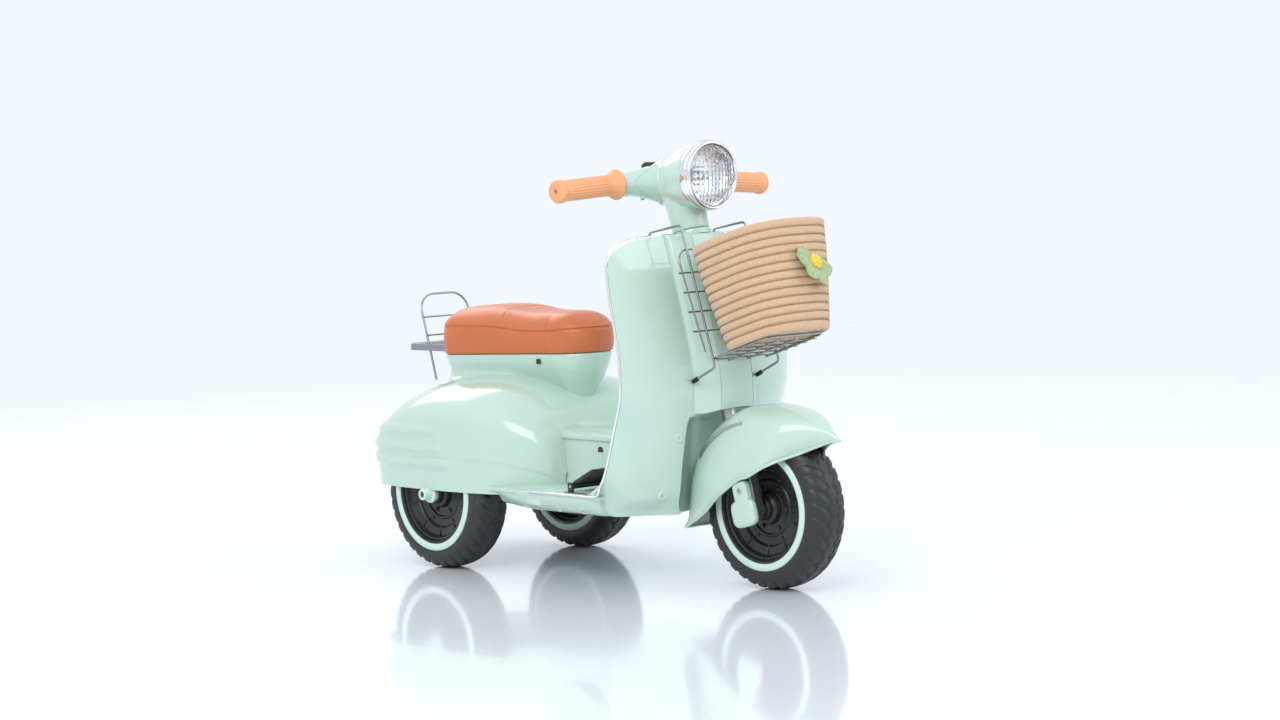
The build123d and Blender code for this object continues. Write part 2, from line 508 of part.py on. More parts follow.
def housing(shrink):
    """The headset cover: two tapering arms, the lamp bucket and the neck."""
    centre_r = 34 - shrink
    form = Pos(BAR_X + 18, 0, BAR_Z) * Sphere(centre_r)
    for side in (-1, 1):
        form += cone_between((BAR_X + 18, side * 8, BAR_Z), (BAR_X, side * (arm_len - GAP), BAR_Z),
                             centre_r - 2, 15 - shrink)
    form += cone_between((BAR_X + 20, 0, BAR_Z + 2), (LAMP_X - 16, 0, LAMP_Z),
                         LAMP_R - 12 - shrink, LAMP_R + 2 - shrink)
    form += cone_between((steer_x(NECK_LOW_Z), 0, NECK_LOW_Z), (steer_x(BAR_Z - 6), 0, BAR_Z - 6),
                         25 - shrink, 31 - shrink)
    return form


BEZEL_BACK = LAMP_X - 16
shell = housing(0) - housing(WALL) - rod(COLUMN_R - 1, NECK_LOW_Z - 20, NECK_LOW_Z + 10)
shell -= Pos(BEZEL_BACK, 0, LAMP_Z) * Rot(0, 90, 0) * Cylinder(LAMP_R - 2, 16)
shell -= Pos(BEZEL_BACK + 50, 0, LAMP_Z) * Box(100, 200, 200)
for side in (-1, 1):
    shell -= arm_place(side) * Pos(0, 0, -5) * Cylinder(BAR_R + 1, 20)
    shell -= Pos(BAR_X, side * (arm_len - GAP + 20), BAR_Z) * Box(100, 40, 100)

# The horn button and the power rocker, on the rider's side of the headset.
HORN_R, HORN_TRAVEL = 8.0, 2.0
horn_place = Pos(BAR_X + 18, 0, BAR_Z) * Rot(0, -45, 0)
shell -= horn_place * Pos(0, 0, 34) * Cylinder(HORN_R + GAP, 16)
horn_button = horn_place * Pos(0, 0, 33) * Cylinder(HORN_R, 8)
save("horn_button", fillet(horn_button.edges().filter_by(GeomType.CIRCLE).sort_by(Axis.Z)[-1], 0.8))
ROCKER_R, ROCKER_HALF = 9.5, 6.0
rocker_x, rocker_y, rocker_z = BAR_X + 6.5, -28.0, BAR_Z + 19.0
shell -= y_rod(ROCKER_R + GAP, rocker_x, rocker_z, rocker_y - ROCKER_HALF - GAP, rocker_y + ROCKER_HALF + GAP)
rocker = y_rod(ROCKER_R, rocker_x, rocker_z, rocker_y - ROCKER_HALF, rocker_y + ROCKER_HALF)
for turn in (-28, 0):
    rocker -= Pos(rocker_x, rocker_y, rocker_z) * Rot(0, turn, 0) * Pos(0, 0, ROCKER_R + 9) * Box(40, 20, 20)
save("power_rocker", rocker)
split_x = BAR_X + 20
front_side = Pos(split_x + 200, 0, 500) * Box(400, 600, 400)
save("headset_front", shell & Pos(GAP / 2, 0, 0) * front_side)
save("headset_rear", shell - Pos(-GAP / 2, 0, 0) * front_side)
inner_block = (Pos(BAR_X + 24, 0, BAR_Z) * Box(40, 22, 30)) & housing(WALL + GAP)
inner_block += (Pos(BAR_X + 27, 0, BAR_Z) * Box(10, 18, 90)) & housing(WALL)
inner_block -= rod(STEM_R + 0.05, 400, 560) + y_rod(BAR_R + 0.05, BAR_X, BAR_Z, -80, 80)
save("bar_clamp", inner_block)

lamp_axis = Pos(LAMP_X, 0, LAMP_Z) * Rot(0, 90, 0)
GLASS_R = LAMP_R - 4
bezel_face = make_face(Polyline((GLASS_R, -15.7), (LAMP_R + 2, -15.7), (LAMP_R + 2.5, -8), (LAMP_R, 0),
                                (GLASS_R, 1), close=True))
bezel = revolve(Plane.XZ * bezel_face, Axis.Z)
save("headlight_bezel", lamp_axis * bezel)
LENS_BULGE = 116.0
lens = Pos(0, 0, 6 - LENS_BULGE) * (Sphere(LENS_BULGE) - Sphere(LENS_BULGE - 2.5))
save("headlight_lens", lamp_axis * (lens & Pos(0, 0, 10) * Cylinder(GLASS_R - 0.05, 30)))
dish_r = GLASS_R - 0.05
dish_face = make_face([ThreePointArc((7, -26), (30, -18), (dish_r, -4)), Line((dish_r, -4), (dish_r, -6)),
                       ThreePointArc((dish_r, -6), (30, -20), (7, -28)), Line((7, -28), (7, -26))])
save("headlight_reflector", lamp_axis * revolve(Plane.XZ * dish_face, Axis.Z))
bulb = Pos(0, 0, -24) * Cylinder(6.95, 12) + Pos(0, 0, -18) * Sphere(6)
save("headlight_led", lamp_axis * bulb)

# ---------------------------------------------------------------- edge trim
TRIM_R = 1.8
trim_y = -SHIELD_HALF - TRIM_R - GAP
trim_top = [(-143, -64, 457.5), (-141, -100, 452.5), (-141, -137, 441), (-142, trim_y - 0.4, 418)]
trim_side = [(-134, 374), (-124, 318), (-120, 270), (-129, 228), (-146, 175), (-160, 140)]
trim_points = trim_top + [(x, trim_y, z) for x, z in trim_side]
trim_curve = Spline(*trim_points)
floor_run = FilletPolyline(trim_curve @ 1, (-170, trim_y, FLOOR_Z - 1),
                           (COWL_FRONT + GAP, trim_y, FLOOR_Z - 1), radius=9)
trim = sweep(Plane(origin=trim_curve @ 0, z_dir=trim_curve % 0) * Circle(TRIM_R), path=trim_curve)
trim += sweep(Plane(origin=floor_run @ 0, z_dir=floor_run % 0) * Circle(TRIM_R), path=floor_run)
save("edge_trim", both(trim))
shield_front -= trim + mirror_y(trim) + pan_room
save("leg_shield_front", shield_front)

# ---------------------------------------------------------------- basket carrier
tilt = math.radians(CARRIER_TILT)


def carrier(forward, up, y=0.0):
    """A point of the leaning carrier: forward along its tray, up along its back."""
    return (CARRIER_X + forward * math.cos(tilt) - up * math.sin(tilt), y,
            CARRIER_Z + forward * math.sin(tilt) + up * math.cos(tilt))


HOOK_UP, BEND_UP = 178.0, -12.0      # the uprights' hooks and the bends under the tray
FOOT_X, FOOT_Z = -80.9, 269.5
CAP_R, CAP_LEN, CAP_OVER = 2.9, 10.0, 6.0
hook_top, bend = carrier(0, HOOK_UP), carrier(0, BEND_UP)
hook_pts = [(SHIELD_CREST_X - 3, SHIELD_TOP - 17), (SHIELD_CREST_X, SHIELD_TOP + 5)]
upright_pts = hook_pts + [(hook_top[0], hook_top[2]), (bend[0], bend[2]), (FOOT_X, FOOT_Z)]
upright = wire([(x, -UPRIGHT_HALF, z) for x, z in upright_pts], WIRE_R, 6)
save("basket_uprights", both(upright))
foot = Vector(FOOT_X, -UPRIGHT_HALF, FOOT_Z)
last = foot - Vector(bend[0], -UPRIGHT_HALF, bend[2])
cap_plane = Plane(origin=foot - last.normalized() * CAP_OVER, z_dir=last)
rubber = cap_plane * Pos(0, 0, CAP_LEN / 2) * Cylinder(CAP_R, CAP_LEN)
rubber -= cap_plane * Pos(0, 0, CAP_OVER / 2) * Cylinder(WIRE_R, CAP_OVER)
save("basket_leg_caps", both(rubber))

# The back grid is welded behind the uprights, so the basket's back clears it.
LOOP_HALF, LOOP_TOP = 74.0, 146.0
loop_f = -WIRE_R - THIN_WIRE_R
loop_pts = [carrier(loop_f, 10, 8 - LOOP_HALF), carrier(loop_f, LOOP_TOP, -LOOP_HALF),
            carrier(loop_f, LOOP_TOP, LOOP_HALF), carrier(loop_f, 10, LOOP_HALF - 8)]
back_grid = [wire(loop_pts, THIN_WIRE_R, 18)]
cross_f = loop_f - 2 * THIN_WIRE_R
for up in (38, 64, 90, 116):
    ends = [carrier(cross_f, up, -LOOP_HALF - 2), carrier(cross_f, up, LOOP_HALF + 2)]
    back_grid.append(wire(ends, THIN_WIRE_R, 1))
save("basket_back_grid", Compound(children=back_grid))

# The tray's rim is a U whose ends are welded to the inner sides of the uprights.
tray_half = UPRIGHT_HALF - 2 * WIRE_R
rim_pts = [carrier(-2, 0, -tray_half), carrier(TRAY_WIRE_DEPTH, 0, -tray_half),
           carrier(TRAY_WIRE_DEPTH, 0, tray_half), carrier(-2, 0, tray_half)]
save("basket_tray_rim", wire(rim_pts, WIRE_R, 14))
under = -WIRE_R - THIN_WIRE_R
tray_wires = []
for forward in (4, 22, 40, 58, 76):
    ends = [carrier(forward, under, -tray_half - 1), carrier(forward, under, tray_half + 1)]
    tray_wires.append(wire(ends, THIN_WIRE_R, 1))
for y in (-34, 0, 34):
    ends = [carrier(2, under - 2 * THIN_WIRE_R, y), carrier(TRAY_WIRE_DEPTH, under - 2 * THIN_WIRE_R, y)]
    tray_wires.append(wire(ends, THIN_WIRE_R, 1))
save("basket_tray_wires", Compound(children=tray_wires))


# ---------------------------------------------------------------- rope basket and its flower
def rounded_oval(half_depth, half_width, count=16, power=3.0):
    """A rounded oval that is a little square, as a closed curve."""
    pts = []
    for i in range(count):
        a = 2 * math.pi * i / count
        c, s = math.cos(a), math.sin(a)
        pts.append((half_depth * math.copysign(abs(c) ** (2 / power), c),
                    half_width * math.copysign(abs(s) ** (2 / power), s)))
    return make_face(Spline(*pts, periodic=True))


BASKET_LEAN = 8.0           # the rim stands this far in front of the base
base_at = carrier(BASKET_AHEAD, WIRE_R + GAP)
basket_plane = Plane(origin=base_at, x_dir=(math.cos(tilt), 0, math.sin(tilt)),
                     z_dir=(-math.sin(tilt), 0, math.cos(tilt)))
tub = loft([rounded_oval(*BASKET_BASE), Pos(BASKET_LEAN, 0, BASKET_H) * rounded_oval(*BASKET_RIM)])
hollow = loft([Pos(0, 0, ROPE) * rounded_oval(BASKET_BASE[0] - ROPE, BASKET_BASE[1] - ROPE),
               Pos(BASKET_LEAN, 0, BASKET_H + 1) * rounded_oval(BASKET_RIM[0] - ROPE, BASKET_RIM[1] - ROPE)])
basket_form = basket_plane * tub
save("rope_basket", basket_form - basket_plane * hollow)
FLOWER_UP, FLOWER_TURN = 80.0, 14.0
FLOWER_OUT = BASKET_BASE[0] + (BASKET_RIM[0] - BASKET_BASE[0] + BASKET_LEAN) * FLOWER_UP / BASKET_H + 1.5
flower_spot = basket_plane * Pos(0, 0, FLOWER_UP) * Rot(0, 0, FLOWER_TURN) * Pos(FLOWER_OUT, 0,
                                                                                 0) * Rot(0, 79, 0)
petals = flower_spot * Cylinder(12, 6)
for i in range(6):
    turn = i * math.tau / 6
    petals += flower_spot * Pos(19 * math.cos(turn), 19 * math.sin(turn), 0) * Cylinder(11.5, 6)
petals -= basket_form
knot = flower_spot * Pos(0, 0, 6) * Cylinder(10, 12) - petals - basket_form
save("felt_flower", Compound(children=[petals.solids().sort_by(SortBy.VOLUME)[-1],
                                       knot.solids().sort_by(SortBy.VOLUME)[-1]]))

# ---------------------------------------------------------------- pedal
PEDAL_TILT = 26.0
pedal_pin = (PEDAL_X - PEDAL_LEN, FLOOR_Z + 9)
pedal_place = Pos(pedal_pin[0], PEDAL_Y, pedal_pin[1]) * Rot(0, -PEDAL_TILT, 0)
pedal = pedal_place * Pos(PEDAL_LEN / 2, 0, 3) * Box(PEDAL_LEN, 2 * PEDAL_HALF, 4)
pedal += pedal_place * Rot(90, 0, 0) * Cylinder(4, 2 * PEDAL_HALF)
pedal -= y_rod(2.1, pedal_pin[0], pedal_pin[1], PEDAL_Y - 60, PEDAL_Y + 60)
save("accelerator_pedal", pedal)
bracket = Pos(pedal_pin[0] + 10, PEDAL_Y, FLOOR_Z + 0.75) * Box(44, 2 * PEDAL_HALF + 10, 1.5)
for s in (-1, 1):
    ear = Pos(pedal_pin[0], PEDAL_Y + s * (PEDAL_HALF + 3.2), FLOOR_Z + 7) * Box(9, 3, 14)
    bracket += ear - y_rod(2.0, pedal_pin[0], pedal_pin[1], PEDAL_Y - 60, PEDAL_Y + 60)
save("pedal_bracket", bracket)
save("pedal_pin", y_rod(2.0, pedal_pin[0], pedal_pin[1], PEDAL_Y - PEDAL_HALF - 4.7,
                        PEDAL_Y + PEDAL_HALF + 4.7))

# ---------------------------------------------------------------- battery and electrics
shelf_top = FLOOR_Z + 1.5
shelf_x = tunnel_mid + 2.5
battery = Pos(shelf_x, 0, shelf_top + 28) * Box(100, 70, 56)
save("battery", fillet(battery.edges().filter_by(Axis.Z), 3))
shelf_low = tray_top
shelf_half = TUNNEL_HALF - WALL - GAP
shelf = Pos(shelf_x, 0, (shelf_low + shelf_top) / 2) * Box(150, 2 * shelf_half, shelf_top - shelf_low)
save("battery_shelf", shelf)
board = Pos(shelf_x - 60, 0, shelf_top + 20) * Box(2, 60, 40)
board += Pos(shelf_x - 56.5, 0, shelf_top + 22) * Box(5, 30, 20)
save("control_board", board)
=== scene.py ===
"""A child's three-wheeled ride-on scooter shaped like a step-through moped, dressed round its CAD frame."""
import bmesh
import bpy
import math
import random
from mathutils import Matrix, Vector, noise
from mathutils.bvhtree import BVHTree


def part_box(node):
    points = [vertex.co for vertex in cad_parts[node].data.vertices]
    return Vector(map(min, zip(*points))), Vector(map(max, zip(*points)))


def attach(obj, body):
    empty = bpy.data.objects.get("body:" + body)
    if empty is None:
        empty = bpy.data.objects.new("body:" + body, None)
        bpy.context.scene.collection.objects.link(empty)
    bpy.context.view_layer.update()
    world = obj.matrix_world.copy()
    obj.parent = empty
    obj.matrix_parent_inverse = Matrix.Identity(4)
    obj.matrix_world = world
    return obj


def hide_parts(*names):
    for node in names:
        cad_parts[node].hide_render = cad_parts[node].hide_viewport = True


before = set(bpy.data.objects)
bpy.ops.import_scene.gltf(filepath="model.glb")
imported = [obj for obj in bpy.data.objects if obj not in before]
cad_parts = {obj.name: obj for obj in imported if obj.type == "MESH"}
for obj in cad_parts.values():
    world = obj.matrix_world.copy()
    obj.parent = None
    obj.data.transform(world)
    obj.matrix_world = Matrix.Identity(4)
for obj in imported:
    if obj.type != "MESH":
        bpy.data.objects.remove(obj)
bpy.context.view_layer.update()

# ---------------------------------------------------------------- places, worked out from the frame
axle_low, axle_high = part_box("front_axle")
AXLE_X = (axle_low[0] + axle_high[0]) / 2       # every x below is millimetres from the front axle
WHEEL_R = 105.0
RAKE = math.radians(14)
NECK = (-140.0, 462.0)                          # x and z where the steering axis leaves the shield


def at(x, y, z):
    """A point in the row frame from millimetres ahead of the front axle, to the left, and up."""
    return Vector((AXLE_X + x / 1000, y / 1000, z / 1000))


def steer_x(z):
    return NECK[0] + (NECK[1] - z) * math.tan(RAKE)


def lerp(a, b, t):
    return a + (b - a) * t


def smooth(t):
    t = max(0.0, min(1.0, t))
    return t * t * (3 - 2 * t)


def curve(points, value):
    """Smooth interpolation through (value, result) pairs sorted by value, with monotone slopes."""
    if value <= points[0][0]:
        return points[0][1]
    if value >= points[-1][0]:
        return points[-1][1]
    slopes = [(b[1] - a[1]) / (b[0] - a[0]) for a, b in zip(points, points[1:])]
    for i, (a, b) in enumerate(zip(points, points[1:])):
        if value <= b[0]:
            before = slopes[i - 1] if i else slopes[i]
            after = slopes[i + 1] if i + 1 < len(slopes) else slopes[i]
            ma = 0.0 if before * slopes[i] <= 0 else (before + slopes[i]) / 2
            mb = 0.0 if after * slopes[i] <= 0 else (after + slopes[i]) / 2
            w = b[0] - a[0]
            t = (value - a[0]) / w
            return ((2 * t**3 - 3 * t**2 + 1) * a[1] + (t**3 - 2 * t**2 + t) * w * ma
                    + (-2 * t**3 + 3 * t**2) * b[1] + (t**3 - t**2) * w * mb)


# ---------------------------------------------------------------- materials
def material(name, color, rough, metal=0.0, coat=0.0, sheen=0.0, grain=None, cells=None, vary=0.06,
             spread=12.0,
             transmission=0.0, ior=1.5, alpha=1.0, rough_vary=0.06):
    """A plastic, metal, leather or cloth: noise varies colour and roughness, grain or cells give relief.

    grain and cells are (scale per metre, strength, depth in metres)."""
    mat = bpy.data.materials.new(name)
    mat.use_nodes = True
    nodes, links = mat.node_tree.nodes, mat.node_tree.links
    shader = nodes["Principled BSDF"]
    place = nodes.new("ShaderNodeTexCoord")
    noise = nodes.new("ShaderNodeTexNoise")
    noise.inputs["Scale"].default_value = spread
    noise.inputs["Detail"].default_value = 6.0
    links.new(place.outputs["Object"], noise.inputs["Vector"])
    tint = nodes.new("ShaderNodeMix")
    tint.data_type = "RGBA"
    tint.inputs["A"].default_value = (*[c * (1 - vary) for c in color], 1)
    tint.inputs["B"].default_value = (*[min(1, c * (1 + vary)) for c in color], 1)
    links.new(noise.outputs["Fac"], tint.inputs["Factor"])
    links.new(tint.outputs["Result"], shader.inputs["Base Color"])
    span = nodes.new("ShaderNodeMapRange")
    span.inputs["To Min"].default_value = max(0.01, rough - rough_vary / 2)
    span.inputs["To Max"].default_value = rough + rough_vary / 2
    links.new(noise.outputs["Fac"], span.inputs["Value"])
    links.new(span.outputs["Result"], shader.inputs["Roughness"])
    shader.inputs["Metallic"].default_value = metal
    shader.inputs["Coat Weight"].default_value = coat
    shader.inputs["Coat Roughness"].default_value = 0.03
    shader.inputs["Sheen Weight"].default_value = sheen
    shader.inputs["Transmission Weight"].default_value = transmission
    shader.inputs["IOR"].default_value = ior
    shader.inputs["Alpha"].default_value = alpha
    normal = None
    for kind, relief in (("ShaderNodeTexNoise", grain), ("ShaderNodeTexVoronoi", cells)):
        if relief is None:
            continue
        tex = nodes.new(kind)
        tex.inputs["Scale"].default_value = relief[0]
        links.new(place.outputs["Object"], tex.inputs["Vector"])
        bump = nodes.new("ShaderNodeBump")
        bump.inputs["Strength"].default_value = relief[1]
        bump.inputs["Distance"].default_value = relief[2]
        if kind == "ShaderNodeTexVoronoi":
            tex.feature = "DISTANCE_TO_EDGE"
            links.new(tex.outputs["Distance"], bump.inputs["Height"])
        else:
            tex.inputs["Detail"].default_value = 4.0
            links.new(tex.outputs["Fac"], bump.inputs["Height"])
        if normal is not None:
            links.new(normal, bump.inputs["Normal"])
        normal = bump.outputs["Normal"]
    if normal is not None:
        links.new(normal, shader.inputs["Normal"])
    return mat


MINT = material("mint_gloss", (0.485, 0.650, 0.562), 0.16, coat=0.6, grain=(90, 0.06, 0.0004), vary=0.015,
                rough_vary=0.05)
LEATHER = material("tan_leather", (0.56, 0.145, 0.045), 0.42, coat=0.12, grain=(60, 0.25, 0.0015),
                   cells=(520, 0.35, 0.0005),
                   vary=0.14, spread=26, rough_vary=0.16)
GRIP = material("grip_rubber", (0.80, 0.37, 0.175), 0.5, grain=(1400, 0.2, 0.0002), vary=0.05)
ROPE = material("cotton_rope", (0.66, 0.44, 0.265), 0.85, sheen=0.35, grain=(1500, 0.9, 0.0010), vary=0.34,
                spread=520)
# The stitch colour is darker than the rope: partly the stitching thread, partly painted shade in the grooves
# between coils.
STITCH_AND_SEAM_SHADE = material("rope_stitch_and_seam_shade", (0.40, 0.24, 0.13), 0.9, grain=(2500, 0.5, 0.0004), vary=0.15, spread=300)
FELT = material("green_felt", (0.335, 0.45, 0.185), 0.95, sheen=0.6, grain=(2600, 0.8, 0.0006), vary=0.18,
                spread=380)
YARN = material("yellow_yarn", (0.86, 0.60, 0.05), 0.85, sheen=0.4, grain=(2200, 0.6, 0.0005), vary=0.14,
                spread=300)
TYRE = material("black_plastic_tyre", (0.020, 0.020, 0.021), 0.42, grain=(700, 0.25, 0.0003), vary=0.2,
                rough_vary=0.12)
BLACK = material("black_plastic", (0.016, 0.016, 0.017), 0.36, grain=(500, 0.15, 0.0002), vary=0.15,
                 rough_vary=0.1)
RING = material("ring_plastic", (0.60, 0.76, 0.70), 0.3, coat=0.2, grain=(300, 0.05, 0.0002), vary=0.02)
CHROME = material("bright_chrome", (0.78, 0.79, 0.80), 0.10, metal=1.0, grain=(240, 0.04, 0.0002), vary=0.03,
                  rough_vary=0.06)
WIRE = material("plated_wire", (0.32, 0.33, 0.34), 0.26, metal=1.0, grain=(900, 0.12, 0.0002), vary=0.08,
                rough_vary=0.12)
STEEL = material("turned_steel", (0.45, 0.45, 0.46), 0.35, metal=1.0, grain=(800, 0.15, 0.0002), vary=0.08)
RACK = material("grey_plastic", (0.235, 0.245, 0.26), 0.45, grain=(900, 0.15, 0.0002), vary=0.05)
GLASS = material("clear_lens", (0.97, 0.98, 0.99), 0.03, transmission=1.0, ior=1.46, vary=0.0, rough_vary=0.0)
MIRROR = material("reflector_film", (0.90, 0.91, 0.92), 0.13, metal=1.0, vary=0.03, rough_vary=0.04)
PALE = material("white_plastic", (0.75, 0.74, 0.70), 0.4, grain=(500, 0.1, 0.0002), vary=0.04)
RUBBER = material("black_rubber", (0.012, 0.012, 0.012), 0.7, grain=(1200, 0.3, 0.0003), vary=0.2)
BOARD = material("circuit_board", (0.02, 0.10, 0.05), 0.5, grain=(400, 0.2, 0.0003), vary=0.3, spread=90)


# ---------------------------------------------------------------- making pieces
def piece(name, verts, faces, body, mat, slot=None, replaces=(), sharp=40, solid=0.0, levels=0, bevel=0.0):
    """A mesh piece that rides on a body; verts are in the row frame, in metres."""
    mesh = bpy.data.meshes.new(name)
    mesh.from_pydata([tuple(v) for v in verts], [], faces)
    mesh.validate()
    obj = bpy.data.objects.new(name, mesh)
    bpy.context.scene.collection.objects.link(obj)
    mesh.materials.append(mat)
    tidy_normals(obj)
    if solid:
        add(obj, "SOLIDIFY", thickness=solid, offset=-1)
    if bevel:
        add(obj, "BEVEL", width=bevel, segments=2, limit_method="ANGLE", angle_limit=math.radians(sharp))
    if levels:
        add(obj, "SUBSURF", levels=levels, render_levels=levels)
    finish_piece(obj, sharp)
    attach(obj, body)
    if replaces:
        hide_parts(*replaces)
    return obj


def tidy_normals(obj):
    bm = bmesh.new()
    bm.from_mesh(obj.data)
    bmesh.ops.remove_doubles(bm, verts=bm.verts, dist=1e-6)
    bmesh.ops.recalc_face_normals(bm, faces=bm.faces)
    bm.to_mesh(obj.data)
    bm.free()


def add(obj, kind, **settings):
    mod = obj.modifiers.new(kind.lower(), kind)
    for key, value in settings.items():
        setattr(mod, key, value)
    return mod


def bake(obj):
    """Applies the modifiers, so that the piece is a plain mesh."""
    graph = bpy.context.evaluated_depsgraph_get()
    mesh = bpy.data.meshes.new_from_object(obj.evaluated_get(graph))
    obj.modifiers.clear()
    old = obj.data
    obj.data = mesh
    bpy.data.meshes.remove(old)


def finish_piece(obj, sharp):
    bake(obj)
    obj.data.shade_smooth()
    obj.data.set_sharp_from_angle(angle=math.radians(sharp))

BOX_FACES = [(0, 1, 2, 3), (7, 6, 5, 4), (0, 4, 5, 1), (1, 5, 6, 2), (2, 6, 7, 3), (3, 7, 4, 0)]


def grid(rows, wrap_row=False, wrap_col=False):
    """Vertices and faces of a grid given as rows of points."""
    verts = [p for row in rows for p in row]
    n, m = len(rows), len(rows[0])
    faces = []
    for i in range(n if wrap_row else n - 1):
        for j in range(m if wrap_col else m - 1):
            a, b = i * m + j, i * m + (j + 1) % m
            c, d = ((i + 1) % n) * m + (j + 1) % m, ((i + 1) % n) * m + j
            faces.append((a, b, c, d))
    return verts, faces


def loft(rings, cap=True):
    """A tube through closed rings of points, with flat ends."""
    verts, faces = grid(rings, wrap_col=True)
    if cap:
        m = len(rings[0])
        faces.append(tuple(range(m)))
        faces.append(tuple(range(len(verts) - m, len(verts))))
    return verts, faces


def joined(*parts):
    """Several (verts, faces) as one."""
    verts, faces = [], []
    for v, f in parts:
        faces += [tuple(i + len(verts) for i in face) for face in f]
        verts += list(v)
    return verts, faces


def lathe(profile, place, count=96, closed=True, wobble=None):
    """Turns (radius, along) pairs about an axis. place(r, a, angle) gives the point."""
    rows = []
    for i in range(count):
        turn = math.tau * i / count
        rows.append([place(*(wobble(r, a, turn) if wobble else (r, a)), turn) for r, a in profile])
    return grid(rows, wrap_row=True, wrap_col=closed)


def tube(points, radius, sides=12, cap=True, closed=False):
    """A round tube along points, with a frame carried along without twist."""
    pts = [Vector(p) for p in points]
    count = len(pts)
    tangents = []
    for i in range(count):
        before = pts[(i - 1) % count] if closed or i else pts[i]
        after = pts[(i + 1) % count] if closed or i < count - 1 else pts[i]
        tangents.append((after - before).normalized())
    side = tangents[0].orthogonal().normalized()
    rings = []
    for i, (p, t) in enumerate(zip(pts, tangents)):
        side = (side - t * side.dot(t)).normalized()
        up = t.cross(side)
        r = radius(i / (count - 1)) if callable(radius) else radius
        rings.append([p + (side * math.cos(a) + up * math.sin(a)) * r
                      for a in (math.tau * k / sides for k in range(sides))])
    if closed:
        return grid(rings, wrap_row=True, wrap_col=True)
    return loft(rings, cap)


def rounded(points, radius, steps=6):
    """The points of a path whose corners are rounded."""
    pts = [Vector(p) for p in points]
    out = [pts[0]]
    for a, b, c in zip(pts, pts[1:], pts[2:]):
        cut = min(radius, (b - a).length * 0.48, (c - b).length * 0.48)
        start, end = b + (a - b).normalized() * cut, b + (c - b).normalized() * cut
        for k in range(steps + 1):
            t = k / steps
            out.append(start * (1 - t)**2 + b * 2 * t * (1 - t) + end * t * t)
    return out + [pts[-1]]


def disc_stack(centre, axis, profile, count=32):
    """A turned part: profile of (radius, distance along axis), closed at both ends."""
    axis = Vector(axis).normalized()
    side = axis.orthogonal().normalized()
    up = axis.cross(side)
    rings = []
    for r, a in profile:
        rings.append([Vector(centre) + axis * (a / 1000) + (side * math.cos(t)
                      + up * math.sin(t)) * (r / 1000)
                      for t in (math.tau * k / count for k in range(count))])
    return loft(rings)


def cross_screw(centre, axis, radius):
    """A pan-head screw with a cross recess, drawn as turned rings with a round pit in the head."""
    profile = [(radius, 0), (radius, 0.5), (radius * 0.86, 1.1), (radius * 0.5, 1.45), (radius * 0.28, 1.5),
               (radius * 0.22, 0.7)]
    return disc_stack(centre, axis, profile, 20)


def dress(names, mat):
    """A CAD node keeps its shape and gets a material."""
    for name in names:
        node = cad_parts[name]
        node.data.materials.clear()
        node.data.materials.append(mat)


# ---------------------------------------------------------------- wheels
def wheel_point(x, y):
    """place() for parts turned about a wheel's axle at x, y."""
    def place(r, a, turn):
        return at(x + r * math.sin(turn), y + a, WHEEL_R + r * math.cos(turn))
    return place


TREAD_PITCHES = 34


def tread(r, a, turn):
    """Sinks the grooves of the tread into the tyre."""
    side = abs(a)
    if r < 90:
        return r, a
    phase = turn / math.tau * TREAD_PITCHES
    slanted = (phase + (side - 8) * 0.045 + (0.5 if a > 0 else 0.0)) % 1.0
    wave = 7.5 + 2.2 * math.sin(phase * math.tau)
    depth = 0.0
    if side > wave + 1.2:
        depth = 2.4 * (1 - smooth(abs(slanted - 0.5) / 0.17 - 0.35)) * smooth((side - wave) / 3)
    ridge = abs(side - wave)
    depth = max(depth, 2.0 * (1 - smooth(ridge / 1.6)))
    return r - depth * smooth((r - 91) / 5), a


